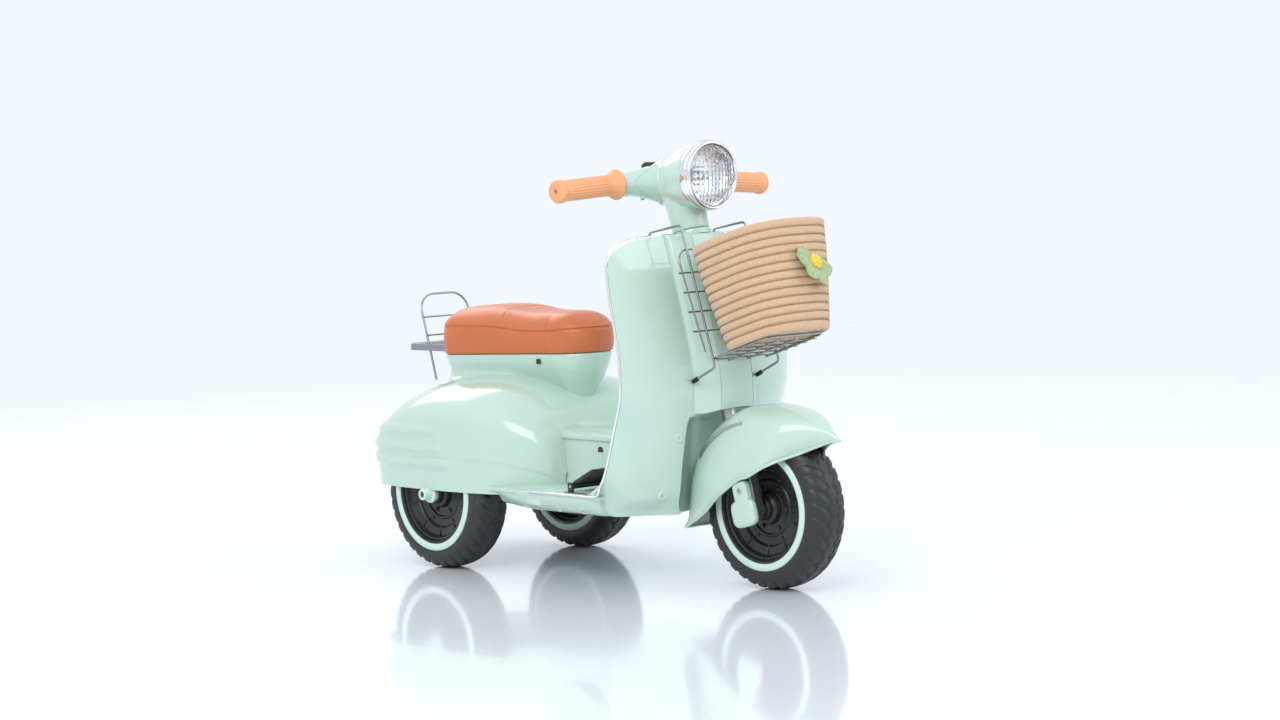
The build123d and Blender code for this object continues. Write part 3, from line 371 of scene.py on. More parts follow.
def wheel(x, y, body, names):
    place = wheel_point(x, y)
    half = [(66, 24), (67.5, 27.6), (70, 28.2), (80, 28.2), (81, 28.9), (84, 29.0), (88, 28.9), (91.5, 28.4),
            (94.5, 27.3),
            (97, 25.9), (99, 24.2), (100.8, 22), (102.2, 19.4), (103.2, 16.6), (103.9, 13.8), (104.3, 11.4),
            (104.6, 9.4),
            (104.8, 7.6), (104.9, 5.8), (105, 3.8), (105, 1.9)]
    profile = half + [(105, 0)] + [(r, -a) for r, a in reversed(half)]
    verts, faces = lathe(profile, place, count=TREAD_PITCHES * 12, wobble=tread)
    piece(names[0] + "_treaded", verts, faces, body, TYRE, "tyre", [names[0]], sharp=50)
    face = [(66, 24), (64.5, 24.6), (62.5, 23.6), (61, 20), (59.5, 17.6), (57, 16.6), (50, 15.2),
            (48.5, 13.6), (47.5, 11.4),
            (38, 10.2), (36.5, 11.6), (34.5, 11.8), (33, 9.6), (24, 8.6), (21.5, 9.6), (20, 13.5),
            (18.8, 16.2), (16, 17.4),
            (14.6, 18.6), (13.6, 24.6), (12.6, 25.8), (5.1, 26)]
    disc = lathe(face + [(r, -a) for r, a in reversed(face)], place, count=96)
    extras = []
    for side in (-1, 1):
        for k in range(6):
            turn = math.tau * (k + 0.5) / 6
            for r, width, out in ((28.5, 3.0, 11.6), (42.5, 2.2, 12.6)):
                centre = place(r, side * 8, turn)
                extras.append(disc_stack(centre, (0, side, 0),
                                         [(width, 0), (width, out - 8.6), (width - 0.8, out - 8),
                                          (0.4, out - 7.8)], 14))
        for k in range(10):
            turn = math.tau * k / 10
            ends = [place(r, side * a, turn) for r, a in ((47.6, 12.2), (52, 15.6), (60.5, 18.8))]
            extras.append(tube(ends, 0.0013, 8))
    verts, faces = joined(disc, *extras)
    piece(names[1] + "_dished", verts, faces, body, BLACK, "black_plastic", [names[1]], sharp=35)
    bands = []
    for side in (-1, 1):
        band = [(70.2, 28.0), (70.4, 29.3), (71.4, 30.0), (75, 30.2), (78.6, 30.0), (79.6, 29.3),
                (79.8, 28.0)]
        bands.append(lathe([(r, side * a) for r, a in band], place, count=128))
    verts, faces = joined(*bands)
    piece(names[2] + "_band", verts, faces, body, RING, "ring", [names[2]], sharp=60)


wheel(0, 0, "front_wheel", ("front_tyre", "front_hub", "front_rings"))
for side, word in ((-1, "right"), (1, "left")):
    wheel(-518, side * 122.5, f"rear_wheel_{word}",
          (f"rear_tyre_{word}", f"rear_hub_{word}", f"rear_rings_{word}"))

# ---------------------------------------------------------------- axles, caps and fork ends
for side, word in ((-1, "right"), (1, "left")):
    cap = disc_stack(at(-518, side * 149, WHEEL_R), (0, side, 0),
                     [(12.5, 0), (12.9, 0.8), (12.9, 6), (12.2, 7), (9.2, 7.2), (8.4, 8.6), (8.2, 18),
                      (7.4, 19.4), (4.6, 19.6), (4.2, 17.5)], 40)
    piece(f"axle_cap_{word}", *cap, "frame", RING, "ring", ["rear_axle_caps"] if side < 0 else (), sharp=30)
    nut = disc_stack(at(-518, side * 149, WHEEL_R), (0, side, 0),
                     [(4.1, 12), (4.1, 18.2), (3.2, 18.8), (0.3, 18.9)], 6)
    piece(f"axle_nut_{word}", *nut, "frame", BLACK, "black_plastic", sharp=30)


def rounded_block(centre, size, tilt, power=5.0, segments=24, rows=13):
    """A soft-edged block: a superellipsoid, tilted in the X-Z plane."""
    spin = Matrix.Rotation(-tilt, 3, "Y")
    rings = []
    for i in range(rows + 1):
        lat = -math.pi / 2 + math.pi * i / rows
        ring = []
        for j in range(segments):
            lon = math.tau * j / segments
            c = math.copysign(abs(math.cos(lat)) ** (2 / power), math.cos(lat))
            s = math.copysign(abs(math.sin(lat)) ** (2 / power), math.sin(lat))
            p = Vector((size[0] / 2 * c * math.copysign(abs(math.cos(lon)) ** (2 / power), math.cos(lon)),
                        size[1] / 2 * s,
                        size[2] / 2 * c * math.copysign(abs(math.sin(lon)) ** (2 / power), math.sin(lon))))
            ring.append(Vector(centre) + spin @ (p / 1000))
        rings.append(ring)
    return loft(rings)


for side, word in ((-1, "right"), (1, "left")):
    block = rounded_block(at(-9, side * 50.5, 128), (25, 11, 30), RAKE)
    cover = rounded_block(at(-5, side * 50.5, 102), (42, 13, 36), RAKE, power=3.6)
    screw_at = at(-8, side * 55.8, 131)
    verts, faces = joined(block, cover,
                          disc_stack(screw_at, (0, side, 0),
                                     [(5.2, -1), (5.2, 0.4), (4.2, 1.0), (3.9, 0.2), (0.3, 0.1)], 24))
    piece(f"fork_cover_{word}", verts, faces, "steering", MINT, "mint", ["fork_covers"] if side < 0 else (),
          sharp=45)
    piece(f"fork_screw_{word}", *cross_screw(at(-8, side * 56.1, 131), (0, side, 0), 3.0), "steering", STEEL,
          "steel", sharp=30)

# ---------------------------------------------------------------- front fender
FENDER_C = (9.0, 98.5)
FENDER_R = 141.0
FENDER_EDGE = ((-118, 76), (-96, 88), (-60, 113), (0, 148), (60, 176), (100, 193), (119, 199))


def fender_grid():
    """Sections from one edge over the crown to the other, from the rear tip to the front tip."""
    edge = [(math.atan2(z - FENDER_C[1], x - FENDER_C[0]), math.hypot(x - FENDER_C[0], z - FENDER_C[1]))
            for x, z in FENDER_EDGE]
    edge = sorted((a if a > -0.5 * math.pi else a + math.tau, r) for a, r in edge)
    first, last = edge[0][0], edge[-1][0]
    rows = []
    steps = 64
    for i in range(steps + 1):
        t = i / steps
        angle = lerp(first, last, t)
        low = curve(edge, angle)
        crown = FENDER_R + 4.5 * (1 - smooth(t / 0.16))
        low = min(low, crown - 1.5)
        width = 57.0 * (1 - (1 - smooth(t / 0.30)) ** 2.6 * 0.96) * (1 - 0.16 * smooth((t - 0.72) / 0.28))
        row = []
        for j in range(-12, 13):
            q = math.radians(90 * abs(j) / 12)
            side = math.sin(q) ** (2 / 2.7)
            fall = 1 - math.cos(q) ** (2 / 2.7)
            r = crown - (crown - low) * fall
            y = math.copysign(width * side, j) if j else 0.0
            row.append(at(FENDER_C[0] + r * math.cos(angle), y, FENDER_C[1] + r * math.sin(angle)))
        rows.append(row)
    return rows


fender_rows = fender_grid()
verts, faces = grid(fender_rows)
piece("front_fender_shell", verts, faces, "steering", MINT, "mint", ["front_fender"], sharp=60, solid=0.0025,
      levels=1)
rim = [row[0] for row in fender_rows] + [row[-1] for row in reversed(fender_rows)]
verts, faces = tube([Vector(p) for p in rim], 0.0021, 8, closed=True)
piece("front_fender_rolled_edge", verts, faces, "steering", MINT, "mint")


# ---------------------------------------------------------------- leg shield
SHIELD_HALF = 150.0
EDGE_X = ((95, -182), (112, -180), (122, -176), (142, -160), (169, -148), (210, -134), (250, -121),
          (290, -119.5), (342, -127),
          (378, -134), (422, -139), (456, -145))
FLANK_X = ((95, -112), (120, -102), (150, -98), (200, -92), (250, -87), (300, -91), (338, -100), (406, -119),
           (456, -134))
BACK_X = ((95, -186), (130, -172), (165, -157), (215, -142), (270, -130), (320, -134), (370, -144),
          (420, -150), (456, -155))


def shield_top(y):
    return 415 + 40 * (1 - (abs(y) / SHIELD_HALF) ** 4.5) ** (1 / 2.2)


def shield_low(y):
    return 94 + 28 * smooth((abs(y) - 122) / 28) ** 1.4


def shield_front_x(y, z):
    y = abs(y)
    edge, flank = curve(EDGE_X, z), curve(FLANK_X, z)
    out = max(0.0, (y - 52) / 98)
    share = 1 - out ** 1.7 * (1 - 0.12 * math.sin(math.pi * out))
    under = 16 * (1 - smooth((z - shield_low(y)) / 26)) * smooth((y - 60) / 40)
    return lerp(edge, flank, share) - under


def shield_back_x(y, z):
    sheet = curve(BACK_X, z)
    edge = curve(EDGE_X, z) - 5
    near_edge = smooth((abs(y) - 122) / 28)
    sheet = lerp(sheet, edge, near_edge)
    if abs(y) < 23:
        sheet = min(sheet, steer_x(z) - math.sqrt(23.0 ** 2 - y * y) / math.cos(RAKE))
    return sheet


def shield_solid():
    """Front and back skins joined round the edge, as one closed plate."""
    cols, rows = 90, 84
    front, back = [], []
    for i in range(cols + 1):
        q = -1 + 2 * i / cols
        y = SHIELD_HALF * math.copysign(1 - (1 - abs(q)) ** 1.12, q) if q else 0.0
        low, top = shield_low(y), shield_top(y)
        zs = [lerp(low, top, j / rows) for j in range(rows + 1)]
        front.append([at(shield_front_x(y, z), y, z) for z in zs])
        back.append([at(shield_back_x(y, z), y, z) for z in zs])
    fv, ff = grid(front)
    bv, bf = grid(back)
    verts, faces = joined((fv, ff), (bv, bf))
    m, n, base = rows + 1, cols + 1, len(fv)
    loop = [i * m for i in range(n)] + [(n - 1) * m + j for j in range(1, m)]
    loop += [i * m + m - 1 for i in range(n - 2, -1, -1)] + [j for j in range(m - 2, 0, -1)]
    for a, b in zip(loop, loop[1:] + loop[:1]):
        faces.append((a, b, base + b, base + a))
    return verts, faces


def about_axis(radius, height, turn):
    """A point round the steering axis: turn 0 is ahead, height is the axis point's own z."""
    s = (height - NECK[1]) / math.cos(RAKE)
    f, u = radius * math.cos(turn), s
    return at(NECK[0] + f * math.cos(RAKE) - u * math.sin(RAKE), radius * math.sin(turn),
              NECK[1] + f * math.sin(RAKE) + u * math.cos(RAKE))


ARCH = ((0.5, 20), (88, 20), (88.5, 90), (87.5, 122), (80.5, 146), (75.5, 170), (70, 195), (66, 214),
        (62, 224), (0.5, 228))
arch_rings = [[about_axis(r, h, math.tau * k / 96) for k in range(96)] for r, h in ARCH]


def cutter(name, verts, faces):
    mesh = bpy.data.meshes.new(name)
    mesh.from_pydata([tuple(v) for v in verts], [], faces)
    obj = bpy.data.objects.new(name, mesh)
    bpy.context.scene.collection.objects.link(obj)
    tidy_normals(obj)
    return obj


def carve(obj, tool, how="DIFFERENCE", solver="EXACT"):
    add(obj, "BOOLEAN", object=tool, operation=how, solver=solver)
    bake(obj)


def drop(obj):
    mesh = obj.data
    bpy.data.objects.remove(obj)
    bpy.data.meshes.remove(mesh)


arch_tool = cutter("arch_tool", *loft(arch_rings))
verts, faces = shield_solid()
shield = piece("leg_shield_shell", verts, faces, "frame", MINT, "mint",
               ["leg_shield_front", "leg_shield_inner"], sharp=38)
carve(shield, arch_tool)
finish_piece(shield, 38)

# The horn cover: a long raised box with chamfered sides down the middle of the shield.
COVER = ((54.5, -4.0), (54.2, 1.5), (53, 4.5), (50.5, 6.6), (31, 23.2), (29.4, 24.4), (28.9, 23.5),
         (28.1, 23.5), (27.6, 24.9),
         (20, 26.8), (10, 27.7), (0, 28))


def cover_ring(z, shrink, width=1.0):
    across = [(-y * width, d) for y, d in COVER] + [(y * width, d) for y, d in reversed(COVER[:-1])]
    base = curve(FLANK_X, z)
    out = [at(base + d - shrink, y - math.copysign(shrink * 0.6, y) if y else 0, z) for y, d in across]
    return out + [at(base - 6, y, z) for y in (50, 25, 0, -25, -50)]


cover_rings = [cover_ring(457.2, 6.0), cover_ring(457.4, 2.2), cover_ring(456.6, 0.7), cover_ring(455, 0)]
cover_rings += [cover_ring(lerp(452, 226, i / 40), 0) for i in range(41)]
horn_cover = piece("horn_cover_shell", *loft(cover_rings), "frame", MINT, "mint", ["horn_cover"], sharp=30)
carve(horn_cover, arch_tool)
finish_piece(horn_cover, 30)
neck_ring = [[about_axis(r, h, math.tau * k / 64) for k in range(64)]
             for r, h in ((12, 452), (25.5, 452), (26.2, 457), (25.6, 458.6), (12, 458.8))]
piece("neck_collar", *loft(neck_ring), "frame", MINT, "mint", sharp=40)
for side in (-1, 1):
    for y, z in ((74, 196), (90, 121)):
        spot = at(shield_front_x(y, z) - 1.2, side * y, z)
        piece(f"shield_boss_{z}_{'l' if side > 0 else 'r'}",
              *disc_stack(spot, (1, side * 0.35, -0.1),
                          [(6.4, -2), (5.8, 1.6), (4.8, 2.4), (2.6, 2.2), (2.2, 0.6)], 28),
              "frame", MINT, "mint", sharp=35)
drop(arch_tool)

# ---------------------------------------------------------------- belly pan, floor and tunnel
BELLY = ((-398, 119, 0.90), (-394, 116, 0.93), (-380, 99, 0.97), (-350, 95, 0.985), (-325, 93.5, 1.0),
         (-250, 92.5, 1.0), (-200, 92.5, 1.0),
         (-186, 93, 0.99), (-176, 95, 0.97))


def belly_ring(x, low, width):
    side = [(149.5, 121.0), (149.5, 116), (148, 110), (143.5, 103), (136, 97), (127, 93.5), (110, 92.2),
            (60, 92), (0, 92)]
    pts = [(y * width, max(z, low) if z < 116 else z) for y, z in side]
    return ([at(x, -y, z) for y, z in pts] + [at(x, y, z) for y, z in reversed(pts[:-1])]
            + [at(x, y, 121.0) for y in (80, 0, -80)])


belly = [belly_ring(*row) for row in BELLY]
piece("belly_pan", *loft(belly), "frame", MINT, "mint", ["chassis_tray"], sharp=34)
bosses = []
for x, y, z in ((-330, -138, 101), (-262, -140, 101), (-214, -140, 101), (-330, 138, 101), (-262, 140, 101),
                (-214, 140, 101)):
    bosses.append(disc_stack(at(x, y, z), (0, math.copysign(0.75, y), -0.66),
                             [(6, -4), (5.6, 1.4), (4.8, 2.2), (2.4, 2.0), (2.0, 0.2)], 24))
piece("belly_bosses", *joined(*bosses), "frame", MINT, "mint", sharp=35)
window = [at(-309 + dx, -145.5 + dy, 107 + dz) for dx, dy, dz in
          ((-16, 1.2, -4.5), (16, 1.2, -4.5), (16, -3.2, 4.5), (-16, -3.2, 4.5))]
back = [p + Vector((0, 0.003, -0.001)) for p in window]
piece("belly_window", window + back, BOX_FACES,
      "frame", RING, "ring", sharp=30, bevel=0.0006)

floor_pts = [(-171, -149.6), (-171, 149.6), (-396, 149.6), (-396, -149.6)]
low = [at(x, y, 117.2) for x, y in floor_pts]
top = [at(x, y, 121.6) for x, y in floor_pts]
inset = [at(x, math.copysign(142, y), 121.9) for x, y in floor_pts]
raised = [at(x, math.copysign(138, y), 124.2) for x, y in floor_pts]
floor_mesh = loft([low, top, inset, raised])
ridges = []
for y in range(92, 133, 8):
    ridges.append(tube([at(-200, y, 124.2), at(-300, y, 124.2)], 0.0014, 8))
TUNNEL = ((83, 124), (80, 140), (77.5, 176), (77.2, 184.6), (80.2, 185.4), (81, 188), (80.2, 191.6),
          (76, 194.6), (70, 196), (40, 196.8), (0, 197))


def tunnel_ring(x):
    return [at(x, -y, z) for y, z in TUNNEL] + [at(x, y, z) for y, z in reversed(TUNNEL[:-1])]


tunnel_rows = [tunnel_ring(x) for x in (-168, -200, -250, -300, -360)]
verts, faces = joined(floor_mesh, grid(tunnel_rows), *ridges)
piece("floor_and_tunnel", verts, faces, "frame", MINT, "mint", ["floor_pan"], sharp=32)
for side in (-1, 1):
    for x, z in ((-246, 172), (-205, 172)):
        recess = disc_stack(at(x, side * 76.0, z), (0, side, 0),
                            [(7.2, 0.4), (7.2, 1.9), (6.2, 2.3), (5.2, 1.9), (4.9, -1)], 32)
        # The hole is a flat black disc level with the rim: its dark inside is painted shade, not depth.
        hole = disc_stack(at(x, side * 76.0, z), (0, side, 0), [(5.2, 0.6), (5.2, 1.95), (0.4, 1.95)], 32)
        name = f"tunnel_hole_{abs(x)}_{'l' if side > 0 else 'r'}"
        piece(name + "_rim", *recess, "frame", MINT, "mint", sharp=30)
        piece(name, *hole, "frame", BLACK, "black_plastic", sharp=30)

# ---------------------------------------------------------------- rear body
COWL_TOP = ((-312, 150), (-318, 186), (-332, 214), (-352, 233), (-382, 250), (-420, 262), (-480, 267),
            (-540, 263), (-590, 247),
            (-632, 221), (-662, 195), (-684, 170), (-700, 143))
COWL_HALF = ((-311, 84), (-316, 98), (-324, 110), (-338, 122), (-354, 132), (-378, 144), (-408, 153),
             (-444, 159), (-490, 162), (-560, 162), (-610, 158), (-640, 148),
             (-664, 130), (-684, 104), (-694, 82), (-700, 62))
SKIRT_Z = 111.0
RIBS = ((194, -486), (170, -476), (148, -466))      # height, and the x where each rib fades out


def rib_push(x, z):
    """How far the louvre ribs push the cowl's skin out."""
    push = 0.0
    for rib_z, x_front in RIBS:
        ends = smooth((x_front - x) / 12)
        across = abs(z - rib_z) / 7.0
        if across < 1:
            push = max(push, 3.8 * (1 - across ** 4) * ends)
    return push


def cowl_point(x, q):
    """q runs from 0 at the skirt's edge to 1 at the top centre line."""
    half, top = curve(sorted(COWL_HALF), x), curve(sorted(COWL_TOP), x)
    bend = 0.60
    if q < 0.42:
        t = q / 0.42
        z = lerp(SKIRT_Z, lerp(SKIRT_Z, top, bend), t)
        y = half - 3.5 * (1 - smooth(t * 1.1))
        if t > 0.5:
            y = half
    else:
        t = (q - 0.42) / 0.58
        a = math.radians(90 * t)
        z = lerp(SKIRT_Z, top, bend) + (top - lerp(SKIRT_Z, top, bend)) * math.sin(a) ** (2 / 2.15)
        y = half * max(0.0, math.cos(a)) ** (2 / 2.6)
    y += rib_push(x, z) if y > 30 else 0.0
    return y, z


def cowl_rows():
    xs = []
    for i in range(110):
        t = i / 109
        xs.append(lerp(-311, -700, t - 0.35 * math.sin(math.tau * t) / math.tau))
    rows = []
    for x in xs:
        half = [cowl_point(x, j / 64) for j in range(65)]
        rows.append([at(x, -y, z) for y, z in half] + [at(x, y, z) for y, z in reversed(half[:-1])])
    return rows


rows = cowl_rows()
verts, faces = grid(rows)
tail_cap = tuple(len(verts) - 1 - k for k in range(len(rows[-1])))
cowl = piece("rear_cowl_shell", verts, faces + [tail_cap], "frame", MINT, "mint",
             ["rear_body_right", "rear_body_left"], sharp=50, solid=0.003)


def tower_outline(inset, count=96, flank=24):
    """The seat tower in plan: a round nose, straight flanks and a round-cornered back, seen from above."""
    nose, nose_r, back_x, back_r, back_y = -374.0, 46.0, -552.0, 36.0, 40.0
    slope = math.atan2(back_y + back_r - nose_r, nose - back_x)
    pts = []
    arc = count // 4
    for k in range(arc):
        a = lerp(-math.pi / 2 - slope, math.pi / 2 + slope, k / (arc - 1))
        pts.append((nose + (nose_r - inset) * math.cos(a), (nose_r - inset) * math.sin(a)))
    for k in range(1, flank):
        t = k / flank
        a = math.pi / 2 + slope
        pts.append((lerp(nose + (nose_r - inset) * math.cos(a), back_x + (back_r - inset) * math.cos(a), t),
                    lerp((nose_r - inset) * math.sin(a), back_y + (back_r - inset) * math.sin(a), t)))
    for sign, start, end in ((1, math.pi / 2 + slope, math.pi), (-1, math.pi, 3 * math.pi / 2 - slope)):
        for k in range(arc):
            a = lerp(start, end, k / (arc - 1))
            pts.append((back_x + (back_r - inset) * math.cos(a),
                        sign * back_y + (back_r - inset) * math.sin(a)))
    for k in range(1, flank):
        t = k / flank
        a = 3 * math.pi / 2 - slope
        pts.append((lerp(back_x + (back_r - inset) * math.cos(a), nose + (nose_r - inset) * math.cos(a), t),
                    lerp(-back_y + (back_r - inset) * math.sin(a), (nose_r - inset) * math.sin(a), t)))
    return pts


def seat_plane(x):
    """The top of the tower, which rises a little towards the front."""
    return 290.5 + 5.5 * (x + 592) / 268


graph = bpy.context.evaluated_depsgraph_get()
cowl_tree = BVHTree.FromObject(cowl, graph)


def cowl_height(x, y):
    """The height of the cowl's skin, or of the tunnel's top, under a point in plan."""
    spot = at(x, y, 600)
    hit = cowl_tree.ray_cast(spot, Vector((0, 0, -1)))[0]
    low = 197.0 if x > -345 and abs(y) < 78 else 124.0
    return max(low, hit.z * 1000) if hit else low


def tower_rows():
    """Down the tower's wall, in at the waist, and out in a fillet onto the cowl."""
    top = tower_outline(0)
    inner = tower_outline(1)
    rows = []
    for (x, y), (xi, yi) in zip(top, inner):
        out = Vector((x - xi, y - yi, 0))
        front = smooth((x + 470) / 120)
        row = [at(x - out.x * 8, y - out.y * 8, seat_plane(x) - 0.4), at(x, y, seat_plane(x) - 0.5),
               at(x + out.x * 1.2, y + out.y * 1.2, seat_plane(x) - 2),
               at(x + out.x * 1.2, y + out.y * 1.2, seat_plane(x) - 5)]
        for k in range(1, 13):
            t = k / 12
            waist = lerp(4, 27, front) * smooth(t)
            z = lerp(seat_plane(x) - 8, lerp(268, 222, front), t)
            row.append(at(x - out.x * waist, y - out.y * waist, z))
        waist, z = lerp(4, 27, front), lerp(268, 222, front)
        reach = lerp(26, 34, front)
        ground = cowl_height(x + out.x * (reach - waist), y + out.y * (reach - waist)) - 0.8
        for k in range(1, 11):
            a = math.radians(90 * k / 10)
            row.append(at(x + out.x * (reach * (1 - math.cos(a)) - waist),
                          y + out.y * (reach * (1 - math.cos(a)) - waist),
                          lerp(z, ground, math.sin(a))))
        rows.append(row)
    return rows


verts, faces = grid(tower_rows(), wrap_row=True)
piece("seat_tower_shell", verts, faces, "frame", MINT, "mint", sharp=50, solid=0.0025)


clip = disc_stack(at(-399, -50.4, 284), (0.13, -1, 0), [(4.6, -1.5), (4.6, 0.5), (3.8, 0.8), (0.4, 0.8)], 4)
piece("seat_clip_window", *clip, "frame", BLACK, "black_plastic", sharp=30)

# ---------------------------------------------------------------- seat
CREST = ((-600, 331), (-595, 343), (-587, 350), (-572, 355), (-545, 357.5), (-505, 358.2), (-475, 355.5),
         (-435, 351.5), (-395, 351), (-362, 351),
         (-344, 348), (-332, 343.5), (-322, 338), (-314, 334))
SEAM = ((-604, 329), (-560, 331), (-500, 331.5), (-460, 329), (-420, 325.5), (-380, 326), (-345, 329),
        (-312, 331))


def seam_groove(x, y):
    """The sewn channel across the seat, between the rider's and the passenger's panels."""
    line = -479 + 32 * (y / 78) ** 2
    return 1.5 * math.exp(-((x - line) / 1.7) ** 2) - 0.7 * math.exp(-((x - line) / 6.5) ** 2)


def seat_rows():
    flank = 110
    plans = {inset: tower_outline(inset, 128, flank)
             for inset in (10, -1.2, -2.6, -3.2, -4.4, -4.9, -4.6, -3.9, -3.4, -2.1)}
    side = [(10, 0.012), (-1.2, 0.0), (-2.6, 0.012), (-3.2, 0.05), (-4.4, 0.25), (-4.9, 0.45), (-4.6, 0.65),
            (-3.9, 0.83), (-3.4, 0.955), (-2.1, 1.0)]
    rows = []
    for i in range(len(plans[10])):
        row = []
        for inset, t in side:
            x, y = plans[inset][i]
            low, high = seat_plane(x) + 0.3, curve(SEAM, x)
            row.append(at(x, y, lerp(low, high, t)))
        xo, yo = plans[-3.4][i]
        xc = min(-392.0, max(-536.0, xo))
        lip = curve(SEAM, xo)
        for s in (1.0, 0.992, 0.975, 0.95, 0.92, 0.88, 0.84, 0.79, 0.74, 0.68, 0.62, 0.55, 0.48, 0.41, 0.34,
                  0.27, 0.20, 0.13, 0.06, 0.0):
            x, y = lerp(xc, xo, s), yo * s
            rise = (1 - s ** 4.2) ** 0.8
            z = lerp(lip + 1.0, curve(CREST, x), rise) + 2.2 * (1 - s) ** 0.5 * s ** 3
            wrinkle = 0.5 * noise.noise(Vector((x * 0.035, y * 0.05,
                                                1.3))) + 0.22 * noise.noise(Vector((x * 0.12, y * 0.12, 4.1)))
            row.append(at(x, y, z + wrinkle * min(1, 4 * (1 - s)) - seam_groove(x, y) * min(1, 12 * (1 - s))))
        rows.append(row)
    return rows


verts, faces = grid(seat_rows(), wrap_row=True)
seat = piece("seat_leather", verts, faces, "seat", LEATHER, "leather", ["seat_cushion"], sharp=75)
plan_out, plan_in = tower_outline(1.2), tower_outline(9)
base_rings = [[at(x, y, seat_plane(x) + h) for x, y in plan] for plan,
              h in ((plan_in, 0.1), (plan_out, -0.2), (plan_out, 5), (plan_in, 6))]
piece("seat_pan", *loft(base_rings), "seat", BLACK, "black_plastic", ["seat_base"], sharp=40)

# ---------------------------------------------------------------- headset
LAMP = (-95.0, 532.0)


def ball(centre, radius, count=40):
    rings = []
    for j in range(1, count // 2):
        a = math.pi * j / (count // 2)
        rings.append([Vector((centre[0] + radius * math.sin(a) * math.cos(t),
                              centre[1] + radius * math.sin(a) * math.sin(t),
                              centre[2] + radius * math.cos(a)))
                      for t in (math.tau * k / count for k in range(count))])
    return loft(rings)


def cone(a, b, ra, rb, count=48, steps=8, ease=0.0):
    """A taper from a to b; ease bows its sides inwards."""
    a, b = Vector(a), Vector(b)
    axis = (b - a).normalized()
    side = axis.orthogonal().normalized()
    up = axis.cross(side)
    rings = []
    for j in range(steps + 1):
        t = j / steps
        r = lerp(ra, rb, t) - ease * math.sin(math.pi * t)
        rings.append([a.lerp(b, t) + (side * math.cos(q) + up * math.sin(q)) * r
                      for q in (math.tau * k / count for k in range(count))])
    return loft(rings)


def in_frame(mesh):
    verts, faces = mesh
    return [at(*v) for v in verts], faces


forms = [ball((-174, 0, 524), 34)]
for side in (-1, 1):
    forms.append(cone((-176, side * 6, 524.5), (-191.5, side * 79.7, 524), 32.5, 14.2, ease=3.2))
forms.append(cone((-172, 0, 526), (-111, 0, 532), 32, 45.6, ease=-1.5))
forms.append(cone((steer_x(459.4), 0, 459.4), (steer_x(520), 0, 520), 24.6, 31, ease=1.4))
headset = piece("headset_shell", *in_frame(joined(*forms)), "steering", MINT, "mint",
                ["headset_front", "headset_rear"], sharp=30)
add(headset, "REMESH", mode="VOXEL", voxel_size=0.0013)
add(headset, "SMOOTH", factor=0.6, iterations=14)
bake(headset)
cuts = [cone((-112, 0, 532), (-60, 0, 532), 48, 60), cone((-140, 0, 529), (-100, 0, 532), 36, 42.5),
        cone((-174 - 0.7071 * 31.5, 0, 524 + 0.7071 * 31.5), (-174 - 0.7071 * 50, 0, 524 + 0.7071 * 50), 8.5,
             8.5),
        cone((-185.5, -34.4, 543), (-185.5, -21.6, 543), 9.8, 9.8)]
for side in (-1, 1):
    cuts.append(cone((-192, side * 79.2, 524), (-194, side * 120, 524), 30, 30))
    cuts.append(cone((-192, side * 60, 524), (-192, side * 90, 524), 9.6, 9.6))
for shape in cuts:
    tool = cutter("tool", *in_frame(shape))
    carve(headset, tool)
    drop(tool)
groove_verts = [at(x, y, z) for x in (-172.25, -171.75) for y,
                z in ((-120, 440), (120, 440), (120, 600), (-120, 600))]
groove = cutter("tool", groove_verts, BOX_FACES)
carve(headset, groove)
drop(groove)
finish_piece(headset, 32)
for side in (-1, 1):
    for along, low in ((40, -21.0), (66, -15.5)):
        spot = at(-184 - along * 0.1, side * along, 524 + low)
        piece(f"headset_screw_{along}_{'l' if side > 0 else 'r'}",
              *disc_stack(spot, (0, 0, -1), [(2.6, -3), (2.6, 0.6), (2.1, 1.0), (1.2, 0.9), (1.0, 0.1)], 20),
              "steering", STEEL, "steel", sharp=35)

# ---------------------------------------------------------------- grips
GRIP_PROFILE = ((9.3, 1.4), (18.6, 1.4), (19.8, 2.0), (20.3, 3.4), (19.9, 4.8), (18.2, 7.0), (16.2, 10.5),
                (15.0, 14), (14.4, 15.2), (14.4, 17.4), (13.4, 18.4))
GRIP_PROFILE += tuple((13.4, a) for a in range(20, 93, 3)) + ((13.3, 94), (13.4, 95.4), (14.5, 97),
                                                              (15.2, 98.6), (15.3, 102), (14.8, 105),
                                                             (13.2, 107), (9, 107.7), (4.2, 107.9),
                                                             (3.6, 107.4), (3.3, 103), (1.0, 102.8))


def grip_place(side):
    out = Vector((0, side * math.cos(math.radians(3.5)), -math.sin(math.radians(3.5))))
    u = Vector((1, 0, 0))
    w = out.cross(u)

    def place(r, a, turn):
        p = Vector((-192, side * 80, 524)) + out * a + (u * math.cos(turn) + w * math.sin(turn)) * r
        return at(*p)
    return place


def grip_ribs(r, a, turn):
    ends = smooth((a - 20) / 4) * smooth((93 - a) / 4)
    return r + 0.75 * ends * (abs(math.cos(11 * turn)) ** 0.6 - 0.35), a


for side, word in ((-1, "right"), (1, "left")):
    mesh = lathe(GRIP_PROFILE, grip_place(side), 176, closed=False, wobble=grip_ribs)
    piece(f"grip_{word}_ribbed", *mesh, "steering", GRIP, "grip", [f"grip_{word}"], sharp=50)

# ---------------------------------------------------------------- headlight


def lamp_place(r, a, turn):
    return at(LAMP[0] + a, r * math.cos(turn), LAMP[1] + r * math.sin(turn))


